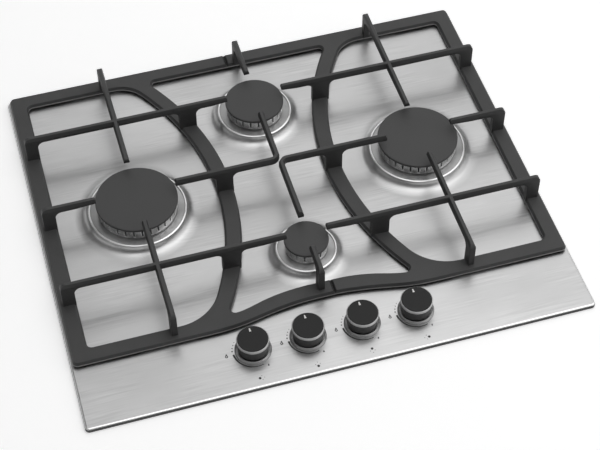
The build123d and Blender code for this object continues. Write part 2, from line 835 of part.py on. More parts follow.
def make_feed_pipe(name, x):
    """Aluminium pipe from a tap to its burner's boss, with a nut at each end."""
    burner = BURNERS[name]
    height = TOP + PIPE_Z
    turn, rejoin = PIPE_TURNS[name]
    start = (x, KNOB_Y + TAP_W / 2 + OUTLET, height)
    end = (burner["x"], burner["y"] - BOSS_R, height)
    with BuildPart() as pipe:
        with BuildLine() as path:
            FilletPolyline(
                start, (x, turn, height), (burner["x"], rejoin, height), end, radius=PIPE_BEND
            )
        with BuildSketch(Plane(path.line @ 0, z_dir=path.line % 0)):
            Circle(PIPE_R)
        sweep(path=path.line)
        for spot, way in ((start, 1), (end, -1)):
            with BuildSketch(Plane(spot, x_dir=(1, 0, 0), z_dir=(0, way, 0))):
                RegularPolygon(PIPE_NUT, 6)
            extrude(amount=PIPE_NUT_L)
    save(pipe.part, f"feed_pipe_{name}")


def make_spark_generator():
    """Spark generator: moulded box on two lugs, with a row of output posts."""
    lug, lug_corner, lug_h = (18, 14), 3.0, 3.0
    x, y = GENERATOR
    with BuildPart() as box:
        with BuildSketch(Plane((x, y, SHEET))):
            RectangleRounded(GENERATOR_W, GENERATOR_D, TAP_CORNER)
        extrude(amount=GENERATOR_H)
        chamfer(box.faces().sort_by(Axis.Z)[-1].edges(), SOFT_EDGE)
        with BuildSketch(Plane((x, y, SHEET + GENERATOR_H))):
            with GridLocations(POST_PITCH, 0, len(BURNERS), 1):
                Circle(POST_R)
        extrude(amount=POST_H, taper=8)
        with BuildSketch(Plane((x, y, SHEET))):
            with GridLocations(GENERATOR_W + lug[0] - 2, 0, 2, 1):
                RectangleRounded(*lug, lug_corner)
        extrude(amount=lug_h)
    save(box.part, "spark_generator")


def lead_routes():
    """Corner points of the spark leads in plan, one from each output post to its spark plug."""
    x, y = GENERATOR
    ends = dict(zip(BURNERS, probe_places(IGNITER_TURN)))
    for place, name in enumerate(("left", "front", "right", "rear")):
        post = (x + (place - 1.5) * POST_PITCH, y)
        yield [post, *LEAD_TURNS[name], ends[name]]


def make_spark_leads():
    """High-voltage leads: up from a post, across to a burner and up into its spark plug."""
    post_top = SHEET + GENERATOR_H + POST_H
    level, plug_foot = TOP + LEAD_Z, TOP + IGNITER_FOOT
    with BuildPart() as leads:
        for route in lead_routes():
            with BuildLine() as path:
                FilletPolyline(
                    (*route[0], post_top),
                    *[(px, py, level) for px, py in route],
                    (*route[-1], plug_foot),
                    radius=[LEAD_RISE_BEND, *[LEAD_BEND] * (len(route) - 2), LEAD_RISE_BEND],
                )
            with BuildSketch(Plane(path.line @ 0, z_dir=path.line % 0)):
                Circle(LEAD_R)
            sweep(path=path.line)
    save(leads.part, "spark_leads")


def make_terminal_block():
    """Mains terminal block beside the cable gland."""
    tower = (20, 10)
    hole_r, hole_deep = 2.4, 5.0
    with BuildPart() as block:
        with BuildSketch(Plane((TERMINALS_X, GLAND_Y, SHEET))):
            RectangleRounded(TERMINALS_W, TERMINALS_D, KNOB_WALL)
        extrude(amount=TERMINALS_BASE)
        with BuildSketch(Plane((TERMINALS_X, GLAND_Y, SHEET + TERMINALS_BASE))):
            with GridLocations(0, TERMINALS_PITCH, 1, 3):
                Rectangle(*tower)
        extrude(amount=TERMINALS_H)
        top = SHEET + TERMINALS_BASE + TERMINALS_H
        with BuildSketch(Plane((TERMINALS_X, GLAND_Y, top))):
            with GridLocations(tower[0] / 2, TERMINALS_PITCH, 2, 3):
                Circle(hole_r)
        extrude(amount=-hole_deep, mode=Mode.SUBTRACT)
    save(block.part, "terminal_block")


def make_cable_gland():
    """Moulded gland in the wall of the raised corner, open for a mains cable."""
    spot = Plane((NOTCH_X, GLAND_Y, TOP + GLAND_Z), x_dir=(0, 0, 1), z_dir=(1, 0, 0))
    flange_r, flange_t = GLAND_FLANGE
    nut_r, nut_t = GLAND_NUT
    nose_r, nose_t = GLAND_NOSE
    with BuildPart() as gland:
        with BuildSketch(spot):
            Circle(flange_r)
        extrude(amount=flange_t)
        with BuildSketch(spot):
            Circle(GLAND_NECK)
        extrude(amount=-SHEET)
        with BuildSketch(spot.offset(-SHEET)):
            RegularPolygon(nut_r, 6)
        extrude(amount=-nut_t)
        with BuildSketch(spot.offset(flange_t)):
            Circle(nose_r)
        extrude(amount=nose_t, taper=8)
        with BuildSketch(spot.offset(flange_t + nose_t)):
            Circle(GLAND_BORE)
        extrude(amount=-flange_t - nose_t - SHEET - nut_t, mode=Mode.SUBTRACT)
    save(gland.part, "cable_gland")


# ---------------------------------------------------------------- fixing

def clamp_places():
    """Where the worktop clamps stand: side of the tray and distance along it."""
    for side in (-1, 1):
        for y in (-CLAMP_Y, CLAMP_Y):
            yield side, y


def make_clamps():
    """Worktop clamps: bent steel hooks on the tray's side walls."""
    with BuildPart() as clamps:
        for side, y in clamp_places():
            wall = side * TRAY_W / 2
            with BuildSketch(Plane((wall, y, 0), x_dir=(side, 0, 0), z_dir=(0, -side, 0))):
                with BuildLine():
                    Polyline(
                        (0, CLAMP_LOW),
                        (CLAMP_REACH, CLAMP_LOW),
                        (CLAMP_REACH, CLAMP_HOOK),
                        (CLAMP_REACH - CLAMP_SHEET, CLAMP_HOOK),
                        (CLAMP_REACH - CLAMP_SHEET, CLAMP_LOW + CLAMP_SHEET),
                        (CLAMP_SHEET, CLAMP_LOW + CLAMP_SHEET),
                        (CLAMP_SHEET, CLAMP_LEG),
                        (0, CLAMP_LEG),
                        close=True,
                    )
                make_face()
            extrude(amount=CLAMP_W / 2, both=True)
            with BuildSketch(Plane((wall, y, 0), x_dir=(0, side, 0), z_dir=(side, 0, 0))):
                with Locations((0, SCREW_Z)):
                    SlotOverall(*CLAMP_SLOT, rotation=90)
            extrude(amount=CLAMP_SHEET, mode=Mode.SUBTRACT)
    save(clamps.part, "worktop_clamps")


def make_clamp_screws():
    """Pan-head screws that hold the clamps to the tray."""
    head_r, head_h = SCREW_HEAD
    with BuildPart() as screws:
        for side, y in clamp_places():
            face = side * (TRAY_W / 2 + CLAMP_SHEET)
            head = Plane((face, y, SCREW_Z), x_dir=(0, side, 0), z_dir=(side, 0, 0))
            with BuildSketch(head):
                Circle(head_r)
            extrude(amount=head_h, taper=20)
            with BuildSketch(head):
                Circle(SCREW_R)
            extrude(amount=-CLAMP_SHEET)
    save(screws.part, "clamp_screws")


# ---------------------------------------------------------------- pan supports

def arc_at(y, radius):
    """Distance from the middle of a bowed member's edge at a given depth."""
    return ARC_X - sqrt(radius**2 - (y - ARC_Y) ** 2)


def rib_solid(plane, corners):
    """Bar with a narrow top from a side view: corners are (along, height, radius)."""
    draft_in, draft_down = RIB_DRAFT
    half = RIB_W / 2
    crown = TOP + RIB_TOP
    with BuildPart() as rib:
        with BuildSketch(plane):
            with BuildLine():
                FilletPolyline(
                    *[(along, height + TOP) for along, height, _ in corners],
                    radius=[radius for _, _, radius in corners],
                    close=True,
                )
            make_face()
        extrude(amount=half, both=True)
        with BuildSketch(Plane(plane.origin, x_dir=plane.z_dir, z_dir=-plane.x_dir)):
            Polygon(
                (-half, TOP),
                (half, TOP),
                (half, crown - draft_down),
                (half - draft_in, crown),
                (draft_in - half, crown),
                (-half, crown - draft_down),
                align=None,
            )
        extrude(amount=SUPPORT_X, both=True, mode=Mode.INTERSECT)
    return rib.part


def rib_corners(outer, tip, posts):
    """Side view of a straight rib: a post over each member it crosses, then its free end.

    A post is (near, far), as distances along the rib; the first has no near side.
    """
    root = FRAME_TOP - ROOT
    last_post = posts[-1][1]
    corners = [(outer, root, 0), (outer, RIB_TOP, RIB_SHOULDER), (tip, RIB_TOP, RIB_TIP_ROUND)]
    corners += [(tip, RIB_TIP_LOW, 0), ((tip + last_post) / 2, RIB_LOW, 0)]
    for near, far in reversed(posts):
        corners += [(far, RIB_LOW, POST_ROUND), (far, root, 0)]
        if near is not None:
            corners += [(near, root, 0), (near, RIB_LOW, POST_ROUND)]
    return corners


def post_corners(near, far):
    """Side view of a post between a bowed member and the rib above it."""
    flare = POST_FLARE if far > near else -POST_FLARE
    root = FRAME_TOP - ROOT
    return [
        (near - flare, RIB_LOW + POST_LAP, 0),
        (near - flare, RIB_LOW, 0),
        (near, RIB_LOW, POST_ROUND),
        (near, root, 0),
        (far, root, 0),
        (far, RIB_LOW, POST_ROUND),
        (far + flare, RIB_LOW, 0),
        (far + flare, RIB_LOW + POST_LAP, 0),
    ]


def bent_rib(start, row, column, end):
    """Rib with one bend: along a row from its burner, then along a column to the next."""
    with BuildPart() as rib:
        with BuildSketch(Plane.XY.offset(TOP + RIB_LOW)):
            with BuildLine():
                FilletPolyline((start, row), (column, row), (column, end), radius=RIB_BEND)
            trace(line_width=RIB_W)
        extrude(amount=RIB_TOP - RIB_LOW)
        top_face = rib.faces().sort_by(Axis.Z)[-1]
        chamfer(top_face.edges(), *RIB_DRAFT, reference=top_face)
    return rib.part


def bow_corners(side, radius):
    """Front and back ends of one edge of a bowed member."""
    for y in (SUPPORT_FRONT + BAR_W, SUPPORT_BACK - BAR_W):
        yield side * arc_at(y, radius), y


def frame_outline(side, front_reach, back_reach):
    """Plan of one half's frame with its bowed member, before the window is cut."""
    bowed = ARC_R + BAR_W
    back_in = SUPPORT_BACK - BAR_W
    front_in = SUPPORT_FRONT + BAR_W
    back_end = -side * back_reach
    front_end = -side * front_reach
    arch_foot = side * ARCH_OUTER[-1][0]
    with BuildSketch() as outline:
        with BuildLine():
            Polyline(
                (side * SUPPORT_X, SUPPORT_FRONT),
                (side * SUPPORT_X, SUPPORT_BACK),
                (back_end, SUPPORT_BACK),
                (back_end, back_in),
                (side * arc_at(back_in, bowed), back_in),
            )
            ThreePointArc(
                (side * arc_at(back_in, bowed), back_in),
                (side * (ARC_X - bowed), ARC_Y),
                (side * arc_at(front_in, bowed), front_in),
            )
            Spline(
                (side * arc_at(front_in, bowed), front_in),
                *[(side * across, front_in + rise) for across, rise in ARCH_INNER],
                (front_end, front_in + ARCH),
                tangents=((-side, 0), (-side, 0)),
            )
            Line((front_end, front_in + ARCH), (front_end, SUPPORT_FRONT + ARCH))
            Spline(
                (front_end, SUPPORT_FRONT + ARCH),
                *[(side * across, SUPPORT_FRONT + rise) for across, rise in ARCH_OUTER],
                tangents=((side, 0), (side, 0)),
            )
            Line((arch_foot, SUPPORT_FRONT), (side * SUPPORT_X, SUPPORT_FRONT))
        make_face()
        outer = outline.vertices().sort_by(Axis.X, reverse=side > 0)[:2]
        fillet(outer, SUPPORT_CORNER)
    return outline.sketch


def frame_window(side):
    """The large opening between the frame and its bowed member."""
    back_in = SUPPORT_BACK - BAR_W
    front_in = SUPPORT_FRONT + BAR_W
    inner_x = SUPPORT_X - BAR_W
    with BuildSketch() as window:
        with Locations((side * ARC_X, ARC_Y)):
            Circle(ARC_R)
        with Locations((side * inner_x / 2, (back_in + front_in) / 2)):
            Rectangle(inner_x, back_in - front_in, mode=Mode.INTERSECT)
        fillet(window.vertices().sort_by(Axis.X, reverse=side > 0)[:2], SUPPORT_CORNER)
        for corner, radius in zip(bow_corners(side, ARC_R), (BOW_FRONT, BOW_BACK)):
            fillet(window.vertices().sort_by_distance(corner)[0], radius)
    return window.sketch


def support_frame(side):
    """Flat frame of one half, bevelled above and relieved below between its pads."""
    shift = side * SPLIT_GAP / 2
    low = TOP + FRAME_LOW
    across = BAR_W + 2 * ROOT
    with BuildPart() as frame:
        with BuildSketch(Plane.XY.offset(low)):
            add(frame_outline(side, -side * SPLIT - shift, side * SPLIT - shift))
            add(frame_window(side), mode=Mode.SUBTRACT)
        extrude(amount=FRAME_TOP - FRAME_LOW)
        for corner in bow_corners(side, ARC_R + BAR_W):
            upright = frame.edges().filter_by(Axis.Z).sort_by_distance((*corner, low))[0]
            fillet(upright, BOW_OPEN)
        for face, draft in (
            (frame.faces().sort_by(Axis.Z)[-1], FRAME_DRAFT),
            (frame.faces().sort_by(Axis.Z)[0], FRAME_UNDERCUT),
        ):
            chamfer(face.edges(), *draft, reference=face)
        with BuildSketch(Plane.XY.offset(low)):
            for y in (SUPPORT_FRONT + BAR_W / 2, SUPPORT_BACK - BAR_W / 2):
                with Locations((side * RELIEF_X, y)):
                    Rectangle(RELIEF_L, across)
            for y in RELIEF_Y:
                with Locations((side * (SUPPORT_X - BAR_W / 2), y)):
                    Rectangle(across, RELIEF_L)
        extrude(amount=RELIEF, mode=Mode.SUBTRACT)
    return frame.part


def foot_places(side):
    """Where the rubber feet sit under one half."""
    edge = SUPPORT_X - BAR_W / 2
    front = SUPPORT_FRONT + BAR_W / 2
    back = SUPPORT_BACK - BAR_W / 2
    for y in (front, FOOT_MIDDLE_Y, back):
        yield side * edge, y
    for y in (front + 1, back):
        yield side * FOOT_INNER_X, y


def make_support(name, side):
    """One cast half: flat frame, bowed member and raised ribs.

    The bent rib runs from this half's own burner to a middle one, and a short rib in
    the middle serves the other middle burner.
    """
    own = BURNERS[name]
    bent_name, middle_name = ("rear", "front") if side < 0 else ("front", "rear")
    bent = BURNERS[bent_name]
    middle = BURNERS[middle_name]
    inner_x = SUPPORT_X - BAR_W
    inner_back = SUPPORT_BACK - BAR_W
    inner_front = SUPPORT_FRONT + BAR_W
    reach = TIP_GAP[name]

    with BuildPart() as support:
        add(support_frame(side))

        for crossed in ("rear", "front"):
            y = BURNERS[crossed]["y"]
            bow = (side * arc_at(y, ARC_R), side * arc_at(y, ARC_R + BAR_W))
            posts = [(None, side * inner_x), bow]
            corners = rib_corners(side * RIB_END_X, side * TIP_GAP[crossed], posts)
            add(rib_solid(Plane.XZ.offset(-y), corners))

        corners = rib_corners(
            side * RIB_END_X, own["x"] + side * reach, [(None, side * inner_x)]
        )
        add(rib_solid(Plane.XZ.offset(-own["y"]), corners))
        across = Plane.YZ.offset(own["x"])
        corners = rib_corners(RIB_END_BACK, own["y"] + reach, [(None, inner_back)])
        add(rib_solid(across, corners))
        corners = rib_corners(RIB_END_FRONT, own["y"] - reach, [(None, inner_front)])
        add(rib_solid(across, corners))

        gap = TIP_GAP[middle_name]
        if side < 0:
            front = [(None, inner_front + ARCH)]
            corners = rib_corners(RIB_END_FRONT + ARCH, middle["y"] - gap, front)
        else:
            corners = rib_corners(RIB_END_BACK, middle["y"] + gap, [(None, inner_back)])
        add(rib_solid(Plane.YZ, corners))

        row = own["y"] - side * RIB_SHIFT
        end = bent["y"] + side * TIP_GAP[bent_name]
        add(bent_rib(own["x"] - side * reach, row, side * RIB_SHIFT, end))
        bow = (side * arc_at(row, ARC_R), side * arc_at(row, ARC_R + BAR_W))
        add(rib_solid(Plane.XZ.offset(-row), post_corners(*bow)))

        with BuildSketch(Plane.XY.offset(TOP + FRAME_LOW)):
            with Locations(*foot_places(side)):
                Circle(FOOT_STEM)
        extrude(amount=FOOT_STEM_H, mode=Mode.SUBTRACT)
    save(support.part, f"pan_support_{name}")


def make_feet(name, side):
    """Rubber feet pressed into one half's frame."""
    with BuildPart() as feet:
        with BuildSketch(Plane.XY.offset(TOP + SEAT_GAP)):
            with Locations(*foot_places(side)):
                Circle(FOOT_R)
        extrude(amount=FRAME_LOW - SEAT_GAP)
        with BuildSketch(Plane.XY.offset(TOP + FRAME_LOW)):
            with Locations(*foot_places(side)):
                Circle(FOOT_STEM)
        extrude(amount=FOOT_STEM_H)
    save(feet.part, f"support_feet_{name}")


def main():
    make_top_plate()
    make_rim_seal()
    make_bottom_tray()
    for name, burner in BURNERS.items():
        make_burner_cup(name, burner)
        make_burner_head(name, burner)
        make_burner_cap(name, burner)
    make_injectors()
    make_igniters()
    make_thermocouples()
    make_collars()
    for name, x in TAPS.items():
        make_knob(name, x)
        make_knob_ring(name, x)
        make_spindle(name, x)
        make_plug(name, x)
        gap = make_spring(name, x)
        print(f"spring {name}: least gap between turns {gap:.2f} mm")
        make_tap_body(name, x)
        make_feed_pipe(name, x)
    make_switches()
    make_gas_rail()
    make_inlet_elbow()
    make_spark_generator()
    make_spark_leads()
    make_terminal_block()
    make_cable_gland()
    make_clamps()
    make_clamp_screws()
    for name, side in (("left", -1), ("right", 1)):
        make_support(name, side)
        make_feet(name, side)


main()
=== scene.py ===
import json
from math import acos, atan2, cos, hypot, pi, radians, sin

import bmesh
import bpy
from mathutils import Matrix, Vector


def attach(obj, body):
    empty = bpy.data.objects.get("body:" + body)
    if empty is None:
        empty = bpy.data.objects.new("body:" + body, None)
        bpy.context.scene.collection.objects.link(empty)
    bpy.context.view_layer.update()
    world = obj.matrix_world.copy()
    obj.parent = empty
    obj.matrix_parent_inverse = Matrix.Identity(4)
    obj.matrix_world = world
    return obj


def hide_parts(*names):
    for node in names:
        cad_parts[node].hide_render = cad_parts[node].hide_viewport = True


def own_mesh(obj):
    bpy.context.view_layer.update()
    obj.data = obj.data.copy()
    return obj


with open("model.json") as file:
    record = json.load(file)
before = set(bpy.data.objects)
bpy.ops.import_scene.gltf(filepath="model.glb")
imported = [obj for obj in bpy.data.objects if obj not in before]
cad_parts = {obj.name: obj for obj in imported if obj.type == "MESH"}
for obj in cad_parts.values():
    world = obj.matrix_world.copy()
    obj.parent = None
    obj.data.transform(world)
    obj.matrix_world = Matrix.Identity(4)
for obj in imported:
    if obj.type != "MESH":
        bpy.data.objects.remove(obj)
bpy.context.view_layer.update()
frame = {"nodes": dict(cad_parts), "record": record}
nodes = frame["nodes"]

mm = 0.001
weld = 0.002               # corners nearer than this are one
plateTop = 48              # height of the steel top's face; a piece's heights count from there
burners = {
    "left": {"at": (-172, 27.5), "cap": 48, "slots": 30, "wall": 6, "venturi": 11, "bowl": 20},
    "right": {"at": (172, 27.5), "cap": 48, "slots": 30, "wall": 6, "venturi": 11, "bowl": 20},
    "rear": {"at": (0, 140), "cap": 35.5, "slots": 22, "wall": 6, "venturi": 11, "bowl": 20},
    "front": {"at": (0, -84.5), "cap": 25.7, "slots": 16, "wall": 4.5, "venturi": 7.5, "bowl": 13},
}
knobRow = {"left": -93.75, "front": -31.25, "rear": 31.25, "right": 93.75}
knobY = -197.5

# here because the knob's finish changes at its trim ring
knobSizes = {"radius": 17.6, "top": 21, "crown": 1, "foot": 4.6, "wall": 2, "draft": 0.3,
             "bevel": 0.8, "soft": 0.2, "hub": 7, "hubRise": 0.6, "hubFacets": 48, "ribs": 6,
             "ribWall": 1, "ribLap": 1, "spindle": 4, "facets": 128, "ringRadius": 18,
             "ringWidth": 1.2, "ringLow": 16.8, "ringHigh": 20.2, "ringSoft": 0.15}


def shader(name, colour, metallic, roughness, **more):
    material = bpy.data.materials.new(name)
    material.use_nodes = True
    tree = material.node_tree
    surface = tree.nodes["Principled BSDF"]
    surface.inputs["Base Color"].default_value = (*colour, 1)
    surface.inputs["Metallic"].default_value = metallic
    surface.inputs["Roughness"].default_value = roughness
    for socket, value in more.items():
        surface.inputs[socket.replace("_", " ")].default_value = value
    return material, tree, surface


def objectCoords(tree, scale=(1, 1, 1)):
    coords = tree.nodes.new("ShaderNodeTexCoord")
    mapping = tree.nodes.new("ShaderNodeMapping")
    mapping.inputs["Scale"].default_value = scale
    tree.links.new(coords.outputs["Object"], mapping.inputs["Vector"])
    return mapping.outputs["Vector"]


def noise(tree, scale, detail=3, spread=(1, 1, 1)):
    texture = tree.nodes.new("ShaderNodeTexNoise")
    texture.inputs["Scale"].default_value = scale
    texture.inputs["Detail"].default_value = detail
    tree.links.new(objectCoords(tree, spread), texture.inputs["Vector"])
    return texture.outputs["Fac"]


def ramp(tree, value, low, high, fromLow=0.3, fromHigh=0.7):
    # low for values up to fromLow, high from fromHigh on, and a straight line between the two
    node = tree.nodes.new("ShaderNodeMapRange")
    node.inputs["From Min"].default_value = fromLow
    node.inputs["From Max"].default_value = fromHigh
    node.inputs["To Min"].default_value = low
    node.inputs["To Max"].default_value = high
    tree.links.new(value, node.inputs["Value"])
    return node.outputs["Result"]


def combine(tree, operation, first, second):
    node = tree.nodes.new("ShaderNodeMath")
    node.operation = operation
    for socket, value in zip(node.inputs, (first, second)):
        if isinstance(value, (int, float)):
            socket.default_value = value
        else:
            tree.links.new(value, socket)
    return node.outputs["Value"]


def grey(level):
    return (level, level, level)


def tint(tree, surface, value, dark, light):
    mix = tree.nodes.new("ShaderNodeMix")
    mix.data_type = "RGBA"
    mix.inputs["A"].default_value = (*dark, 1)
    mix.inputs["B"].default_value = (*light, 1)
    tree.links.new(value, mix.inputs["Factor"])
    tree.links.new(mix.outputs["Result"], surface.inputs["Base Color"])


def overlay(tree, surface, value, level):
    # lays a plain grey over the tint that is already there
    under = surface.inputs["Base Color"].links[0].from_socket
    tint(tree, surface, value, grey(level), grey(level))
    tree.links.new(under, surface.inputs["Base Color"].links[0].from_node.inputs["A"])


def bump(tree, surface, value, strength, distance):
    node = tree.nodes.new("ShaderNodeBump")
    node.inputs["Strength"].default_value = strength
    node.inputs["Distance"].default_value = distance * mm
    tree.links.new(value, node.inputs["Height"])
    tree.links.new(node.outputs["Normal"], surface.inputs["Normal"])


def roughen(tree, surface, value, rough, spread):
    # the roughness wanders by a share to both sides
    wandering = ramp(tree, value, rough * (1 - spread), rough * (1 + spread))
    tree.links.new(wandering, surface.inputs["Roughness"])


def upwards(tree, vector):
    split = tree.nodes.new("ShaderNodeSeparateXYZ")
    tree.links.new(vector, split.inputs["Vector"])
    return split.outputs["Z"]


def heightOf(tree):
    return upwards(tree, objectCoords(tree))


# patterns are drawn out along X, and patches and clouds are ramps; a band is a painted tone and the
# heights over the tray's underside where it starts, is full, fades and ends: painted shade on the
# turned-down edge, a painted highlight on the slope round the face and one on the crest of each rise
plateSteel = {"tone": 0.575, "tones": (0.86, 1.1), "rough": 0.36, "spread": 0.15, "brushed": 0.35,
              "grain": (17, 430, 430), "grainRange": (0.36, 0.64), "strokes": 0.3,
              "scratch": (34, 640, 640), "lines": 0.2,
              "patch": (15.6, 41.6, 26), "patches": (0.1, 1, 0.42, 0.6),
              "cloud": (7, 15, 15), "clouds": (0.2, 0.8), "relief": (0.05, 0.02),
              "paintedLightBands": ((0.045, 47.0, 46.6, 0, -1), (0.85, 47.0, 47.2, 47.9, 47.99),
                        (0.95, 56.7, 57.0, 99, 100))}


def brushedPlate():
    # broken grain along X, fine scratches and soft clouds, then bands of painted shade and painted
    # highlight by height
    look = plateSteel
    tone, rough, strokes, lines = look["tone"], look["rough"], look["strokes"], look["lines"]
    material, tree, surface = shader("plateSteel", grey(tone), 1.0, rough, Anisotropic=look["brushed"])
    grain = noise(tree, 1, 5, look["grain"])
    patches = ramp(tree, noise(tree, 1, 2, look["patch"]), *look["patches"])
    grained = combine(tree, "MULTIPLY", ramp(tree, grain, -strokes, strokes, *look["grainRange"]),
                      patches)
    scratched = combine(tree, "MULTIPLY", ramp(tree, noise(tree, 1, 2, look["scratch"]), -lines, lines),
                        patches)
    cloud = ramp(tree, noise(tree, 1, 4, look["cloud"]), *look["clouds"])
    blend = combine(tree, "ADD", combine(tree, "ADD", grained, scratched), cloud)
    tint(tree, surface, blend, *[grey(tone * share) for share in look["tones"]])
    height = heightOf(tree)
    # painted shade on the turned-down edge, painted highlights on the slope and on each crest
    for paintedTone, start, full, fade, end in look["paintedLightBands"]:
        paintedBand = combine(tree, "MULTIPLY", ramp(tree, height, 0, 1, start * mm, full * mm),
                         ramp(tree, height, 1, 0, fade * mm, end * mm))
        overlay(tree, surface, paintedBand, paintedTone)
    roughen(tree, surface, grain, rough, look["spread"])
    bump(tree, surface, grain, *look["relief"])
    along = tree.nodes.new("ShaderNodeCombineXYZ")
    along.inputs["X"].default_value = 1
    tree.links.new(along.outputs["Vector"], surface.inputs["Tangent"])
    return material


metalLook = {"spread": 0.15, "mottle": 60, "relief": 0.15}


def plainMetal(name, colour, rough, graininess=900, depth=0.02, worn=0.92):
    # even metal with soft patches that are darker by the worn share
    material, tree, surface = shader(name, colour, 1.0, rough)
    grain = noise(tree, graininess, 3)
    roughen(tree, surface, grain, rough, metalLook["spread"])
    patches = ramp(tree, noise(tree, metalLook["mottle"], 2), 0, 1)
    tint(tree, surface, patches, [part * worn for part in colour], colour)
    bump(tree, surface, grain, metalLook["relief"], depth)
    return material


# the top-light ramp runs over the way that a face looks up and paints tops paler than flanks as painted
# light; mottle is a noise and how much it adds
enamelLook = {"peel": 650, "relief": (0.3, 0.06), "mottle": (28, 0.2), "paintedTopLight": (0, 0.8, 0.2, 0.95),
              "tones": (0.9, 1.1), "spread": 0.1, "sheen": 0.3, "seamHighlightFade": 0.2}


def castEnamel(name, tone, rough, seamHighlight=(), paintedFlankShade=1):
    # matt vitreous enamel over cast iron: fine orange peel, painted light that makes the tops paler
    # than the flanks, faint uneven tone and a painted highlight along the parting line
    look = enamelLook
    material, tree, surface = shader(name, grey(tone), 0.0, rough, Specular_IOR_Level=look["sheen"])
    peel = noise(tree, look["peel"], 4)
    facing = upwards(tree, tree.nodes.new("ShaderNodeNewGeometry").outputs["True Normal"])
    mottle, uneven = look["mottle"]
    # painted light: faces that look up are paler, flanks darker by the flank share, with random mottle
    # added
    paintedTopLight = combine(tree, "ADD", ramp(tree, facing, *look["paintedTopLight"]),
                     ramp(tree, noise(tree, mottle, 4), 0, uneven))
    dark, light = look["tones"]
    tint(tree, surface, paintedTopLight, grey(tone * paintedFlankShade * dark), grey(tone * light))
    # painted highlight: a pale band at the height of the parting line
    if seamHighlight:
        low, high, seamHighlightTone = seamHighlight
        middle, half, fade = (low + high) / 2 * mm, (high - low) / 2 * mm, look["seamHighlightFade"]
        off = combine(tree, "ABSOLUTE", combine(tree, "SUBTRACT", heightOf(tree), middle), 0)
        overlay(tree, surface, ramp(tree, off, 1, 0, half * (1 - fade), half * (1 + fade)), seamHighlightTone)
    roughen(tree, surface, peel, rough, look["spread"])
    bump(tree, surface, peel, *look["relief"])
    return material


mouldedLook = {"spread": 0.08, "mottle": 40, "shade": 0.9, "relief": (0.12, 0.02)}


def moulded(name, colour, rough, grainSize=1500, gloss=0.5):
    look = mouldedLook
    material, tree, surface = shader(name, colour, 0.0, rough, Specular_IOR_Level=gloss)
    grain = noise(tree, grainSize, 2)
    patches = ramp(tree, noise(tree, look["mottle"], 2), 0, 1)
    tint(tree, surface, patches, [part * look["shade"] for part in colour], colour)
    roughen(tree, surface, grain, rough, look["spread"])
    bump(tree, surface, grain, *look["relief"])
    return material


knobLook = {"tones": (0.016, 0.05), "fade": 0.2, "rough": 0.45, "spread": 1 / 9, "sheen": 0.25,
            "grain": 1500}


def knobSatin():
    # near-black top, softer grey skirt under the trim ring
    look, fade = knobLook, knobLook["fade"]
    top, skirt = look["tones"]
    middle = plateTop + (knobSizes["ringLow"] + knobSizes["ringHigh"]) / 2
    material, tree, surface = shader("knobSatin", grey(top), 0.0, look["rough"],
                                     Specular_IOR_Level=look["sheen"])
    tint(tree, surface, ramp(tree, heightOf(tree), 0, 1, (middle - fade) * mm, (middle + fade) * mm),
         grey(skirt), grey(top))
    grain = noise(tree, look["grain"], 2)
    roughen(tree, surface, grain, look["rough"], look["spread"])
    bump(tree, surface, grain, *mouldedLook["relief"])
    return material


plugLook = {"glaze": (0.80, 0.79, 0.75), "pin": (0.45, 0.44, 0.43), "pinFoot": 13, "fade": 0.1,
            "rough": 0.2, "peel": 500, "relief": (0.1, 0.02)}


def sparkPlug():
    # glazed ceramic below, bare steel pin above
    look, foot = plugLook, plateTop + plugLook["pinFoot"]
    material, tree, surface = shader("sparkCeramic", look["glaze"], 0.0, look["rough"])
    pin = ramp(tree, heightOf(tree), 0, 1, (foot - look["fade"]) * mm, (foot + look["fade"]) * mm)
    tint(tree, surface, pin, look["glaze"], look["pin"])
    tree.links.new(pin, surface.inputs["Metallic"])
    bump(tree, surface, noise(tree, look["peel"], 2), *look["relief"])
    return material


finishes = {
    "brushed_steel": brushedPlate(),
    "seal_foam": moulded("sealFoam", grey(0.03), 0.9, 800, 0.2),
    "galvanised_sheet": plainMetal("galvanisedSheet", grey(0.50), 0.45, 260),
    "brass": plainMetal("turnedBrass", (0.66, 0.48, 0.22), 0.35),
    "ceramic": sparkPlug(),
    "probe_copper": plainMetal("sensorCopper", (0.50, 0.33, 0.22), 0.4),
    "grey_plastic": plainMetal("collarSatin", grey(0.38), 0.45, 1200),
    "black_plastic": moulded("blackPlastic", grey(0.02), 0.5),
    "rail_steel": plainMetal("railZinc", grey(0.5), 0.4),
    "pale_plastic": moulded("palePlastic", (0.86, 0.85, 0.83), 0.5),
    "zinc_screw": plainMetal("zincScrew", grey(0.6), 0.3),
    "bright_steel": plainMetal("cupSteel", grey(0.4), 0.4, 1100, worn=0.8),
    "cast_aluminium": plainMetal("castAluminium", grey(0.9), 0.3, 1100, 0.05, 0.45),
    "cap_enamel": castEnamel("capEnamel", 0.068, 0.5),
    "knob_plastic": knobSatin(),
    "ring_chrome": plainMetal("trimSatin", grey(0.56), 0.5, 1500),
    "spindle_steel": plainMetal("spindleSteel", grey(0.6), 0.3),
    "spring_steel": plainMetal("springSteel", grey(0.5), 0.3),
    "pipe_aluminium": plainMetal("pipeAluminium", grey(0.68), 0.35),
    # painted light on the supports: paler tops, shaded flanks and a painted highlight at the parting line
    "support_iron": castEnamel("supportEnamel", 0.068, 0.5, seamHighlight=(51.0, 52.6, 0.3), paintedFlankShade=0.5),
    "foot_rubber": moulded("footRubber", grey(0.02), 0.8, 900, 0.2),
    "lead_silicone": moulded("leadSilicone", (0.36, 0.05, 0.035), 0.45),
}
for part in frame["record"]["subparts"]:
    node = nodes[part["node"]]
    node.data.materials.clear()
    node.data.materials.append(finishes[part["material_slot"]])
print("stage: finishes")


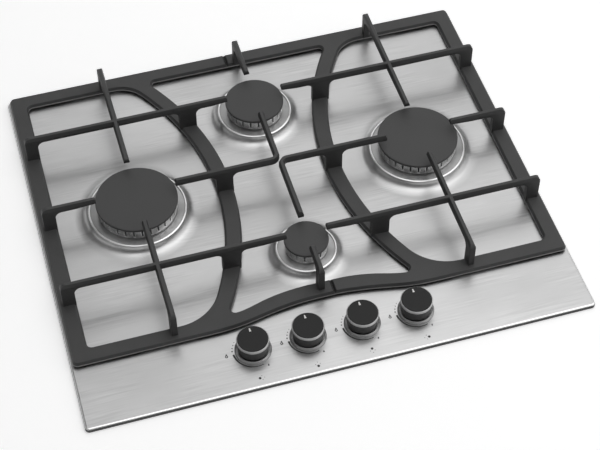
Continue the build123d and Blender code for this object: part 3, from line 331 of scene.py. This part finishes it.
def turned(outline, steps, closed=True):
    # outline of (radius, height) over the plate, turned round an upright axis
    mesh = bmesh.new()
    points = [mesh.verts.new((radius * mm, 0, (height + plateTop) * mm)) for radius, height in outline]
    pairs = list(zip(points, points[1:]))
    if closed:
        pairs.append((points[-1], points[0]))
    edges = [mesh.edges.new(pair) for pair in pairs]
    bmesh.ops.spin(mesh, geom=points + edges, cent=(0, 0, 0), axis=(0, 0, 1), dvec=(0, 0, 0),
                   angle=2 * pi, steps=steps, use_merge=True, use_duplicate=False)
    bmesh.ops.remove_doubles(mesh, verts=mesh.verts, dist=weld * mm)
    bmesh.ops.recalc_face_normals(mesh, faces=mesh.faces)
    return mesh


def soften(mesh, width, segments=2, corner=25):
    sharp = [edge for edge in mesh.edges
             if len(edge.link_faces) == 2 and edge.calc_face_angle() > radians(corner)]
    bmesh.ops.bevel(mesh, geom=sharp, offset=width * mm, offset_type="OFFSET", affect="EDGES",
                    segments=segments, profile=0.5, clamp_overlap=False, loop_slide=True, material=-1)


def moveTo(mesh, x, y, z=0):
    bmesh.ops.translate(mesh, vec=(x * mm, y * mm, z * mm), verts=mesh.verts)


def join(mesh, other):
    # adds another mesh's geometry and frees it
    data = bpy.data.meshes.new("joined")
    other.to_mesh(data)
    other.free()
    mesh.from_mesh(data)
    bpy.data.meshes.remove(data)


def addCircle(mesh, x, y, z, radius, facets, filled=False):
    # returns the edges of the new circle
    verts = bmesh.ops.create_circle(mesh, cap_ends=filled, segments=facets, radius=radius * mm,
                                    matrix=Matrix.Translation(Vector((x, y, z)) * mm))["verts"]
    return list(dict.fromkeys(edge for vert in verts for edge in vert.link_edges))


def faceUp(mesh, face):
    # turns the whole sheet over when the given face looks down
    bmesh.ops.recalc_face_normals(mesh, faces=mesh.faces)
    if face.normal.z < 0:
        bmesh.ops.reverse_faces(mesh, faces=mesh.faces)


def arc(centre, radius, start, end, steps):
    turns = [start + (end - start) * step / steps for step in range(steps + 1)]
    return [(centre[0] + radius * cos(turn), centre[1] + radius * sin(turn)) for turn in turns]


def polar(turn, radius):
    return radius * cos(radians(turn)), radius * sin(radians(turn))


def makePiece(name, mesh, slot, body, replaced=(), wall=0, crease=50):
    for face in mesh.faces:
        face.smooth = True
    data = bpy.data.meshes.new(name)
    mesh.to_mesh(data)
    mesh.free()
    data.set_sharp_from_angle(angle=radians(crease))
    data.materials.append(finishes[slot])
    piece = bpy.data.objects.new(name, data)
    bpy.context.scene.collection.objects.link(piece)
    if wall:
        sheet = piece.modifiers.new("sheet", "SOLIDIFY")
        sheet.thickness = wall * mm
        sheet.offset = -1
        sheet.use_even_offset = True
    weighted = piece.modifiers.new("flatFaces", "WEIGHTED_NORMAL")
    weighted.keep_sharp = True
    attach(piece, body)
    if replaced:
        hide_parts(*replaced)
    return piece


# a rise has an easy foot (radius and turn), a tighter cove and a rolled ring with a flat lip
topSizes = {"width": 580, "depth": 495, "drop": 5, "sheet": 1, "corner": (5, 10), "edge": (1.6, 6),
            "slope": (2.6, 0.8), "rise": 9.5, "foot": (45, 10), "curve": 12, "crest": 9.5, "lip": 2,
            "lipFlat": 0.6, "lipRound": 2, "steps": (10, 16, 8), "facets": 160, "tapHole": 9,
            "tapFacets": 48, "crease": 14}


def riseOutline(cap):
    # its foot's radius, and its points from the foot to the lip
    size = topSizes
    ease, easeTurn = size["foot"][0], radians(size["foot"][1])
    curve, roll, top = size["curve"], size["lipRound"], size["rise"]
    footSteps, coveSteps, ringSteps = size["steps"]
    eased = ease * (1 - cos(easeTurn))
    coveHigh = eased + curve * cos(easeTurn)
    steep = acos((coveHigh - top + roll) / (curve + roll))
    lip = cap + size["crest"] - size["lip"]
    edge = lip + size["lipFlat"]
    hollow = edge + (roll + curve) * sin(steep)
    foot = hollow + (ease - curve) * sin(easeTurn)
    outline = arc((foot, ease), ease, -pi / 2, -pi / 2 - easeTurn, footSteps)
    outline += arc((hollow, coveHigh), curve, -pi / 2 - easeTurn, -pi / 2 - steep, coveSteps)[1:]
    outline += arc((edge, top - roll), roll, pi / 2 - steep, pi / 2, ringSteps)[1:]
    outline.append((lip, top))
    return foot, outline


def foldedSheet():
    # rounded corners, a shallow slope round the face, then the edge turns down; the face is left open
    size = topSizes
    mesh = bmesh.new()
    bmesh.ops.create_cube(mesh, size=1)
    bmesh.ops.scale(mesh, vec=(size["width"] * mm, size["depth"] * mm, size["drop"] * mm),
                    verts=mesh.verts)
    moveTo(mesh, 0, 0, plateTop - size["drop"] / 2)
    upright = [edge for edge in mesh.edges if abs(edge.verts[0].co.z - edge.verts[1].co.z) > mm]
    bmesh.ops.bevel(mesh, geom=upright, offset=size["corner"][0] * mm, affect="EDGES",
                    segments=size["corner"][1], profile=0.5, material=-1)
    face = max(mesh.faces, key=lambda face: face.calc_center_median().z)
    rim = face.edges[:]
    bmesh.ops.inset_region(mesh, faces=[face], thickness=size["slope"][0] * mm, use_even_offset=True)
    outer = {vert for edge in rim for vert in edge.verts} - set(face.verts)
    bmesh.ops.translate(mesh, vec=(0, 0, -size["slope"][1] * mm), verts=list(outer))
    bmesh.ops.bevel(mesh, geom=rim, offset=size["edge"][0] * mm, affect="EDGES",
                    segments=size["edge"][1], profile=0.5, material=-1)
    flat = [face for face in mesh.faces if abs(face.normal.z) > 0.99]
    bmesh.ops.delete(mesh, geom=flat, context="FACES_ONLY")
    return mesh


def makeTop():
    size, mesh = topSizes, foldedSheet()
    border = [edge for edge in mesh.edges
              if edge.is_boundary and edge.verts[0].co.z > (plateTop - 0.1) * mm]
    holes = [(x, knobY, size["tapHole"], size["tapFacets"]) for x in knobRow.values()]
    holes += [(*burner["at"], riseOutline(burner["cap"])[0], size["facets"])
              for burner in burners.values()]
    for x, y, radius, facets in holes:
        border += addCircle(mesh, x, y, plateTop, radius, facets)
    bmesh.ops.triangle_fill(mesh, use_beauty=True, use_dissolve=False, edges=border, normal=(0, 0, 1))
    for burner in burners.values():
        rise = turned(riseOutline(burner["cap"])[1], size["facets"], closed=False)
        moveTo(rise, *burner["at"])
        join(mesh, rise)
    bmesh.ops.remove_doubles(mesh, verts=mesh.verts, dist=weld * mm)
    faceUp(mesh, max(mesh.faces, key=lambda face: face.calc_area()))
    makePiece("steelTop", mesh, "brushed_steel", "cooktop", ["top_plate"], size["sheet"], size["crease"])


makeTop()
print("stage: steel top")


cupSizes = {"sheet": 1.5, "mouth": 6, "flange": 8.5, "ring": 8.5, "shoulder": -3.25, "floor": -24.5,
            "facets": 128, "soft": 0.6, "probeHole": 3.3, "probeFacets": 32, "probeOut": 2,
            "probeTurns": (70, 110), "boss": 8, "bossFoot": -42, "bossFacets": 48, "bossSoft": 0.4}


def makeCup(name, burner):
    # flat ring with two probe holes, then the pressed bowl
    size = cupSizes
    cap, sheet, facets = burner["cap"], size["sheet"], size["facets"]
    mouth, flange, top = cap - size["mouth"], cap + size["flange"], size["ring"]
    mesh = bmesh.new()
    circles = [(0, 0, mouth, facets), (0, 0, flange, facets)]
    circles += [(*polar(turn, cap + size["probeOut"]), size["probeHole"], size["probeFacets"])
                for turn in size["probeTurns"]]
    border = []
    for x, y, radius, steps in circles:
        border += addCircle(mesh, x, y, plateTop + top, radius, steps)
    bmesh.ops.triangle_fill(mesh, use_beauty=True, use_dissolve=False, edges=border, normal=(0, 0, 1))
    bowl = burner["bowl"] - sheet
    join(mesh, turned([(mouth, top), (mouth, size["shoulder"]), (bowl, size["floor"]),
                       (0, size["floor"])], facets, closed=False))
    bmesh.ops.remove_doubles(mesh, verts=mesh.verts, dist=weld * mm)
    faceUp(mesh, max(mesh.faces, key=lambda face: face.calc_center_median().z))
    soften(mesh, size["soft"], 3)
    moveTo(mesh, *burner["at"])
    makePiece("cup" + name.title(), mesh, "bright_steel", "cooktop", ["burner_cup_" + name], sheet)


def makeBoss(name, burner):
    # the injector's seat under the bowl
    size = cupSizes
    top = size["floor"] - size["sheet"]
    mesh = turned([(0, top), (size["boss"], top), (size["boss"], size["bossFoot"]),
                   (0, size["bossFoot"])], size["bossFacets"], closed=False)
    soften(mesh, size["bossSoft"])
    moveTo(mesh, *burner["at"])
    makePiece("cupBoss" + name.title(), mesh, "bright_steel", "cooktop")


# the venturi tube has a narrower waist, and the floor rises in a cone to the wall
headSizes = {"step": 1.2, "groove": (1.6, 1.7), "base": 8.8, "slotFoot": 13.5, "top": 22.2,
             "skirtIn": 6.6, "skirtWall": 2.2, "skirtFoot": 5.4, "skirtCone": 1.5, "tubeFoot": -12,
             "tubeWall": 2.5, "tubeTop": 4, "waist": (1, -4), "floor": 9, "cone": (1.2, 2.5),
             "perSlot": 11, "slotFacets": 2, "soft": 0.6}


def makeHead(name, burner):
    # the lower casting is turned, then the blocks between the flame slots are raised from it
    size = headSizes
    crown = burner["cap"] - size["step"]
    inner, skirt, tube = crown - burner["wall"], burner["cap"] - size["skirtIn"], burner["venturi"]
    throat, foot = tube - size["tubeWall"], crown - size["groove"][0]
    neck = size["base"] + size["groove"][1]
    steps = burner["slots"] * size["perSlot"]
    (waistIn, waist), (coneOut, coneRise) = size["waist"], size["cone"]
    mesh = turned([
        (throat, size["tubeFoot"]), (tube, size["tubeFoot"]), (tube - waistIn, waist),
        (tube, size["tubeTop"]), (skirt - size["skirtWall"], size["skirtFoot"] + size["skirtCone"]),
        (skirt - size["skirtWall"], size["skirtFoot"]), (skirt, size["skirtFoot"]),
        (skirt, size["base"]), (foot, size["base"]), (foot, neck), (crown, neck),
        (crown, size["slotFoot"]), (inner, size["slotFoot"]), (inner, size["floor"] + coneRise),
        (tube + coneOut, size["floor"]), (throat, size["floor"]), (throat - waistIn, waist)], steps)
    blocks = []
    for face in mesh.faces:
        centre = face.calc_center_median()
        onRing = abs(centre.z / mm - plateTop - size["slotFoot"]) < 0.01
        place = int(atan2(centre.y, centre.x) % (2 * pi) / (2 * pi) * steps)
        if onRing and place % size["perSlot"] >= size["slotFacets"]:
            blocks.append(face)
    raised = bmesh.ops.extrude_face_region(mesh, geom=blocks)["geom"]
    bmesh.ops.translate(mesh, vec=(0, 0, (size["top"] - size["slotFoot"]) * mm),
                        verts=[item for item in raised if isinstance(item, bmesh.types.BMVert)])
    bmesh.ops.recalc_face_normals(mesh, faces=mesh.faces)
    soften(mesh, size["soft"])
    moveTo(mesh, *burner["at"])
    makePiece("head" + name.title(), mesh, "cast_aluminium", "head_" + name, ["burner_head_" + name])


capSizes = {"top": 26, "thick": 3.5, "round": 1.2, "roundSteps": 5, "chamfer": 0.6, "ring": 3.4,
            "ringWall": 2, "ringPlay": 0.3, "hollow": 1, "facets": 160, "soft": 0.25}


def makeCap(name, burner):
    # rounded disc with the locating ring that drops into the head
    size = capSizes
    cap, top, turn, chamfer = burner["cap"], size["top"], size["round"], size["chamfer"]
    low, ringFoot = top - size["thick"], top - size["thick"] - size["ring"]
    ring = cap - headSizes["step"] - burner["wall"] - size["ringPlay"]
    inner, ceiling = ring - size["ringWall"], low + size["hollow"]
    mesh = turned([
        (0, top), *arc((cap - turn, top - turn), turn, pi / 2, 0, size["roundSteps"]),
        (cap, low + chamfer), (cap - chamfer, low), (ring, low), (ring, ringFoot),
        (inner, ringFoot), (inner, ceiling), (0, ceiling)], size["facets"], closed=False)
    soften(mesh, size["soft"], corner=40)
    moveTo(mesh, *burner["at"])
    makePiece("cap" + name.title(), mesh, "cap_enamel", "cap_" + name, ["burner_cap_" + name])


for name, burner in burners.items():
    makeCup(name, burner)
    makeBoss(name, burner)
    makeHead(name, burner)
    makeCap(name, burner)
print("stage: burners")


def makeKnob(name, x):
    # hollow skirt, a hub for the spindle and ribs between the two
    size = knobSizes
    radius, groove = size["radius"], size["ringRadius"] - size["ringWidth"]
    inner, ceiling = radius - size["wall"], size["ringLow"] - size["crown"]
    hub, spindle, hubFoot = size["hub"], size["spindle"], size["foot"] + size["hubRise"]
    mesh = turned([
        (0, size["top"]), (radius - size["bevel"], size["top"]),
        (groove + size["bevel"] / 2, size["ringHigh"]), (groove, size["ringHigh"]),
        (groove, size["ringLow"]), (radius, size["ringLow"]),
        (radius - size["draft"], size["foot"]), (inner, size["foot"]), (inner, ceiling),
        (0, ceiling)], size["facets"], closed=False)
    soften(mesh, size["soft"], corner=40)
    join(mesh, turned([(spindle, hubFoot), (hub, hubFoot), (hub, ceiling), (spindle, ceiling)],
                      size["hubFacets"]))
    for rib in range(size["ribs"]):
        web = bmesh.new()
        bmesh.ops.create_cube(web, size=1)
        bmesh.ops.scale(web, vec=Vector((inner - hub + size["ribLap"], size["ribWall"],
                                         ceiling - hubFoot)) * mm, verts=web.verts)
        moveTo(web, (inner + hub) / 2, 0, plateTop + (ceiling + hubFoot) / 2)
        bmesh.ops.rotate(web, verts=web.verts, cent=(0, 0, 0),
                         matrix=Matrix.Rotation(2 * pi * rib / size["ribs"], 3, "Z"))
        join(mesh, web)
    moveTo(mesh, x, knobY)
    makePiece("knob" + name.title(), mesh, "knob_plastic", "knob_" + name, ["knob_" + name])


def makeTrimRing(name, x):
    outer, low, high = (knobSizes[key] for key in ("ringRadius", "ringLow", "ringHigh"))
    groove, half = outer - knobSizes["ringWidth"], knobSizes["ringWidth"] / 2
    mesh = turned([(groove, low), (outer, low), (outer, high - half), (outer - half, high),
                   (groove, high)], knobSizes["facets"])
    soften(mesh, knobSizes["ringSoft"], corner=20)
    moveTo(mesh, x, knobY)
    makePiece("trimRing" + name.title(), mesh, "ring_chrome", "knob_" + name, ["knob_ring_" + name])


pointerSizes = {"out": 14.4, "inward": 9.8, "widths": (1.1, 2.5), "corner": 0.3, "lift": 0.03}


def makePointer(name, x):
    # painted mark at the back of the knob's top, narrower outwards
    size = pointerSizes
    mesh = bmesh.new()
    bmesh.ops.create_grid(mesh, x_segments=1, y_segments=1, size=0.5)
    bmesh.ops.scale(mesh, vec=(mm, (size["out"] - size["inward"]) * mm, 1), verts=mesh.verts)
    for vert in mesh.verts:
        vert.co.x *= size["widths"][0 if vert.co.y > 0 else 1]
    bmesh.ops.bevel(mesh, geom=mesh.verts[:], offset=size["corner"] * mm, affect="VERTICES",
                    segments=3, profile=0.5, material=-1)
    moveTo(mesh, x, knobY + (size["out"] + size["inward"]) / 2, plateTop + knobSizes["top"] + size["lift"])
    makePiece("pointer" + name.title(), mesh, "pale_plastic", "knob_" + name)


collarSizes = {"radius": 20.5, "bore": 18.3, "height": 3.6, "floor": 0.8, "depth": 2.4, "eye": 5,
               "neck": 8.95, "edge": 1.6, "facets": 128, "soft": 0.3}


def makeCollars():
    # dished ring round each knob, with a neck through the top's hole
    size = collarSizes
    radius, bore, high, eye, neck = (size[key] for key in ("radius", "bore", "height", "eye", "neck"))
    mesh = bmesh.new()
    for x in knobRow.values():
        collar = turned([
            (eye, -size["depth"]), (neck, -size["depth"]), (neck, 0), (radius, 0),
            (radius, high - size["edge"]), (radius - size["edge"], high), (bore, high),
            (bore, size["floor"]), (eye, size["floor"])], size["facets"])
        soften(collar, size["soft"], 3, corner=20)
        moveTo(collar, x, knobY)
        join(mesh, collar)
    makePiece("knobCollars", mesh, "grey_plastic", "cooktop", ["knob_collars"])


for name, x in knobRow.items():
    makeKnob(name, x)
    makeTrimRing(name, x)
    makePointer(name, x)
makeCollars()
print("stage: knobs")


# printed signs round each knob: plain dots, a growing arc, two flames and a map of the burners;
# a flame has a turn, a radius and a height, and its shape is in shares of that height
signSizes = {"lift": 0.04, "dots": (140, 150, 160, 170), "dotRing": 23.2, "dot": (0.5, 0.85),
             "dotFacets": 20, "arcRing": 22.4, "arcTurns": (181, 287), "arcWidths": (2.1, 0.8),
             "arcSteps": 48, "lowFlame": (295, 26, 2.9), "fullFlame": (180, 30.4, 5.4),
             "mapOut": 38, "mapStep": 2.6, "mapDot": (0.45, 1.5)}
flameShape = {"facets": 28, "radius": 0.32, "draw": 0.36, "pinch": 0.45, "lean": 0.1, "sink": 0.2,
              "hollow": 0.4}
mapPlaces = {"left": (-1, 0), "front": (0, -1), "rear": (0, 1), "right": (1, 0)}


def addGrowingArc(mesh):
    (start, end), ring, (wide, narrow) = (signSizes[key] for key in ("arcTurns", "arcRing", "arcWidths"))
    strip = bmesh.new()
    ends = [strip.verts.new(Vector((*polar(start, ring + side), 0)) * mm) for side in (-0.5, 0.5)]
    stroke = strip.edges.new(ends)
    bmesh.ops.spin(strip, geom=ends + [stroke], cent=(0, 0, 0), axis=(0, 0, 1), dvec=(0, 0, 0),
                   angle=radians(end - start), steps=signSizes["arcSteps"], use_merge=False,
                   use_duplicate=False)
    for vert in strip.verts:
        share = (atan2(vert.co.y, vert.co.x) % (2 * pi) - radians(start)) / radians(end - start)
        away = hypot(vert.co.x, vert.co.y)
        width = wide + (narrow - wide) * share
        vert.co *= (ring * mm + (away - ring * mm) * width) / away
    join(mesh, strip)


def addFlame(mesh, turn, radius, tall, rings):
    # drop drawn up to a leaning tip; a second, smaller ring makes it hollow
    shape = flameShape
    flame = bmesh.new()
    loops = []
    for share in rings:
        unit = tall * share * mm
        loop = addCircle(flame, 0, 0, 0, shape["radius"] * unit / mm, shape["facets"], len(rings) == 1)
        for vert in dict.fromkeys(vert for edge in loop for vert in edge.verts):
            up = max(vert.co.y / (shape["radius"] * unit), 0)
            vert.co.y += up ** 2 * shape["draw"] * unit
            vert.co.x = vert.co.x * (1 - shape["pinch"] * up) + up ** 2 * shape["lean"] * unit
        loops += loop
    if len(rings) > 1:
        bmesh.ops.bridge_loops(flame, edges=loops)
    x, y = polar(turn, radius)
    moveTo(flame, x, y - tall * shape["sink"])
    join(mesh, flame)


def makeSigns():
    size = signSizes
    small, large = size["dot"]
    mesh = bmesh.new()
    for name, x in knobRow.items():
        group = bmesh.new()
        for index, turn in enumerate(size["dots"]):
            radius = small + (large - small) * index / (len(size["dots"]) - 1)
            addCircle(group, *polar(turn, size["dotRing"]), 0, radius, size["dotFacets"], True)
        addGrowingArc(group)
        addFlame(group, *size["lowFlame"], (1,))
        addFlame(group, *size["fullFlame"], (1, flameShape["hollow"]))
        for served, (across, back) in mapPlaces.items():
            addCircle(group, across * size["mapStep"], back * size["mapStep"] - size["mapOut"], 0,
                      size["mapDot"][served == name], size["dotFacets"], True)
        moveTo(group, x, knobY, plateTop + size["lift"])
        join(mesh, group)
    for face in mesh.faces:
        if face.normal.z < 0:
            face.normal_flip()
    makePiece("printedSigns", mesh, "black_plastic", "cooktop")


makeSigns()
print("stage: printed signs")


def mergedCopy(node):
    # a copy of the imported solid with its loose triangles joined
    mesh = bmesh.new()
    mesh.from_mesh(nodes[node].data)
    bmesh.ops.remove_doubles(mesh, verts=mesh.verts, dist=weld * mm)
    return mesh


castSizes = {"flat": 0.6, "supportEdge": 0.35, "trayEdge": 0.2, "sealEdge": 0.3, "clampEdge": 0.2}


def castCopy(name, node, slot, body, soft):
    # flat faces are whole again, then the edges are eased
    mesh = mergedCopy(node)
    bmesh.ops.dissolve_limit(mesh, angle_limit=radians(castSizes["flat"]), verts=mesh.verts,
                             edges=mesh.edges, use_dissolve_boundaries=False, delimit=set())
    soften(mesh, soft)
    makePiece(name, mesh, slot, body, [node])


for side in ("left", "right"):
    castCopy("support" + side.title(), "pan_support_" + side, "support_iron", "support_" + side,
             castSizes["supportEdge"])
castCopy("undersideTray", "bottom_tray", "galvanised_sheet", "cooktop", castSizes["trayEdge"])
castCopy("rimSeal", "rim_seal", "seal_foam", "cooktop", castSizes["sealEdge"])
castCopy("worktopClamps", "worktop_clamps", "galvanised_sheet", "cooktop", castSizes["clampEdge"])
print("stage: castings and sheet parts")


def makeSpring(name):
    # return spring under the knob; it rides with the knob on a mesh of its own
    node = "tap_spring_" + name
    spring = makePiece("tapSpring" + name.title(), mergedCopy(node), "spring_steel", "knob_" + name,
                       [node])
    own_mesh(spring)


for name in knobRow:
    makeSpring(name)
print("stage: springs")


# the lamp in metres and watts; a screen has turns, heights in degrees and a tone
stageSizes = {"floorLevel": 42.5, "cutOut": (560, 480), "reach": 20, "floorTone": 0.93,
              "floorGlow": 0.4, "skyOnObject": 0.66,
              "lamp": {"place": (0.5, -0.28, 2.0), "size": (2.4, 1.8), "power": 11.5},
              "screens": {"frontScreen": ((105, 300), (15, 62), 0.28),
                          "rightScreen": ((5, 60), (8, 28), 0.3)},
              "screenAway": 2600, "screenSteps": (6, 16)}


def seenDirectly(tree):
    # 1 where the camera, a mirror-like surface or clear glass looks at it, 0 where it only lights
    path = tree.nodes.new("ShaderNodeLightPath")
    seen = combine(tree, "MAXIMUM", path.outputs["Is Camera Ray"], path.outputs["Is Glossy Ray"])
    return combine(tree, "MAXIMUM", seen, path.outputs["Is Transmission Ray"])


def studioItem(name, mesh, material):
    data = bpy.data.meshes.new(name)
    mesh.to_mesh(data)
    mesh.free()
    data.materials.append(material)
    item = bpy.data.objects.new(name, data)
    bpy.context.scene.collection.objects.link(item)
    return item


def makeFloor():
    # worktop surface, open where the tray hangs through
    size, reach = stageSizes, stageSizes["reach"]
    mesh = bmesh.new()
    bmesh.ops.create_grid(mesh, x_segments=1, y_segments=1, size=0.5)
    bmesh.ops.scale(mesh, vec=(size["cutOut"][0] * mm, size["cutOut"][1] * mm, 1), verts=mesh.verts)
    cutOut = mesh.faces[:]
    grown = bmesh.ops.extrude_edge_only(mesh, edges=mesh.edges[:])["geom"]
    bmesh.ops.scale(mesh, vec=(reach, reach, 1),
                    verts=[item for item in grown if isinstance(item, bmesh.types.BMVert)])
    bmesh.ops.delete(mesh, geom=cutOut, context="FACES_ONLY")
    moveTo(mesh, 0, 0, size["floorLevel"])
    material, tree, surface = shader("floorWhite", grey(size["floorTone"]), 0.0, 0.9,
                                     Specular_IOR_Level=0.0)
    surface.inputs["Emission Color"].default_value = (1, 1, 1, 1)
    glow = ramp(tree, seenDirectly(tree), 0, size["floorGlow"], 0, 1)
    tree.links.new(glow, surface.inputs["Emission Strength"])
    floor = studioItem("floor", mesh, material)


def makeLamp():
    lamp = bpy.data.lights.new("overhead", "AREA")
    lamp.shape = "RECTANGLE"
    lamp.size, lamp.size_y = stageSizes["lamp"]["size"]
    lamp.energy = stageSizes["lamp"]["power"]
    light = bpy.data.objects.new("overhead", lamp)
    light.location = stageSizes["lamp"]["place"]
    light.rotation_euler = (-light.location).to_track_quat("-Z", "Y").to_euler()
    bpy.context.scene.collection.objects.link(light)


def makeScreen(name, turns, heights, tone):
    # curved studio flag that the camera doesn't see; it gives bright metal something dark to show
    (start, end), (low, high) = ([radians(angle) for angle in pair] for pair in (turns, heights))
    up, around = stageSizes["screenSteps"]
    mesh = bmesh.new()
    profile = [mesh.verts.new(Vector((out, 0, height)) * mm)
               for out, height in arc((0, 0), stageSizes["screenAway"], low, high, up)]
    edges = [mesh.edges.new(pair) for pair in zip(profile, profile[1:])]
    bmesh.ops.rotate(mesh, verts=profile, cent=(0, 0, 0), matrix=Matrix.Rotation(start, 3, "Z"))
    bmesh.ops.spin(mesh, geom=profile + edges, cent=(0, 0, 0), axis=(0, 0, 1), dvec=(0, 0, 0),
                   angle=end - start, steps=around, use_merge=False, use_duplicate=False)
    cloth = shader(name + "Cloth", grey(tone), 0.0, 0.9, Specular_IOR_Level=0.0)[0]
    screen = studioItem(name, mesh, cloth)
    screen.visible_camera = False
    screen.visible_transmission = False


def makeWorld():
    world = bpy.data.worlds.new("studio")
    world.use_nodes = True
    tree = world.node_tree
    backdrop = tree.nodes["Background"]
    backdrop.inputs["Color"].default_value = (1, 1, 1, 1)
    power = ramp(tree, seenDirectly(tree), stageSizes["skyOnObject"], 1.0, 0, 1)
    tree.links.new(power, backdrop.inputs["Strength"])
    bpy.context.scene.world = world


# solved on the corners of the top, the caps and the knobs of the photograph; the roll in degrees
cameraSizes = {"place": (-308.37, -1132.60, 1446.95), "aim": (4.47, -43.84, 48), "roll": -0.353,
               "lens": 92.8314, "sensor": 36}


def makeCamera():
    place, aim = (Vector(cameraSizes[end]) * mm for end in ("place", "aim"))
    turn = (aim - place).to_track_quat("-Z", "Y").to_matrix()
    roll = Matrix.Rotation(radians(cameraSizes["roll"]), 3, "Z")
    lens = bpy.data.cameras.new("camera")
    lens.sensor_width = cameraSizes["sensor"]
    lens.lens = cameraSizes["lens"]
    camera = bpy.data.objects.new("camera", lens)
    camera.matrix_world = Matrix.Translation(place) @ (turn @ roll).to_4x4()
    bpy.context.scene.collection.objects.link(camera)
    bpy.context.scene.camera = camera


makeFloor()
makeWorld()
makeLamp()
for name, screen in stageSizes["screens"].items():
    makeScreen(name, *screen)
makeCamera()
bpy.context.scene.view_settings.view_transform = "Standard"
print("stage: studio")
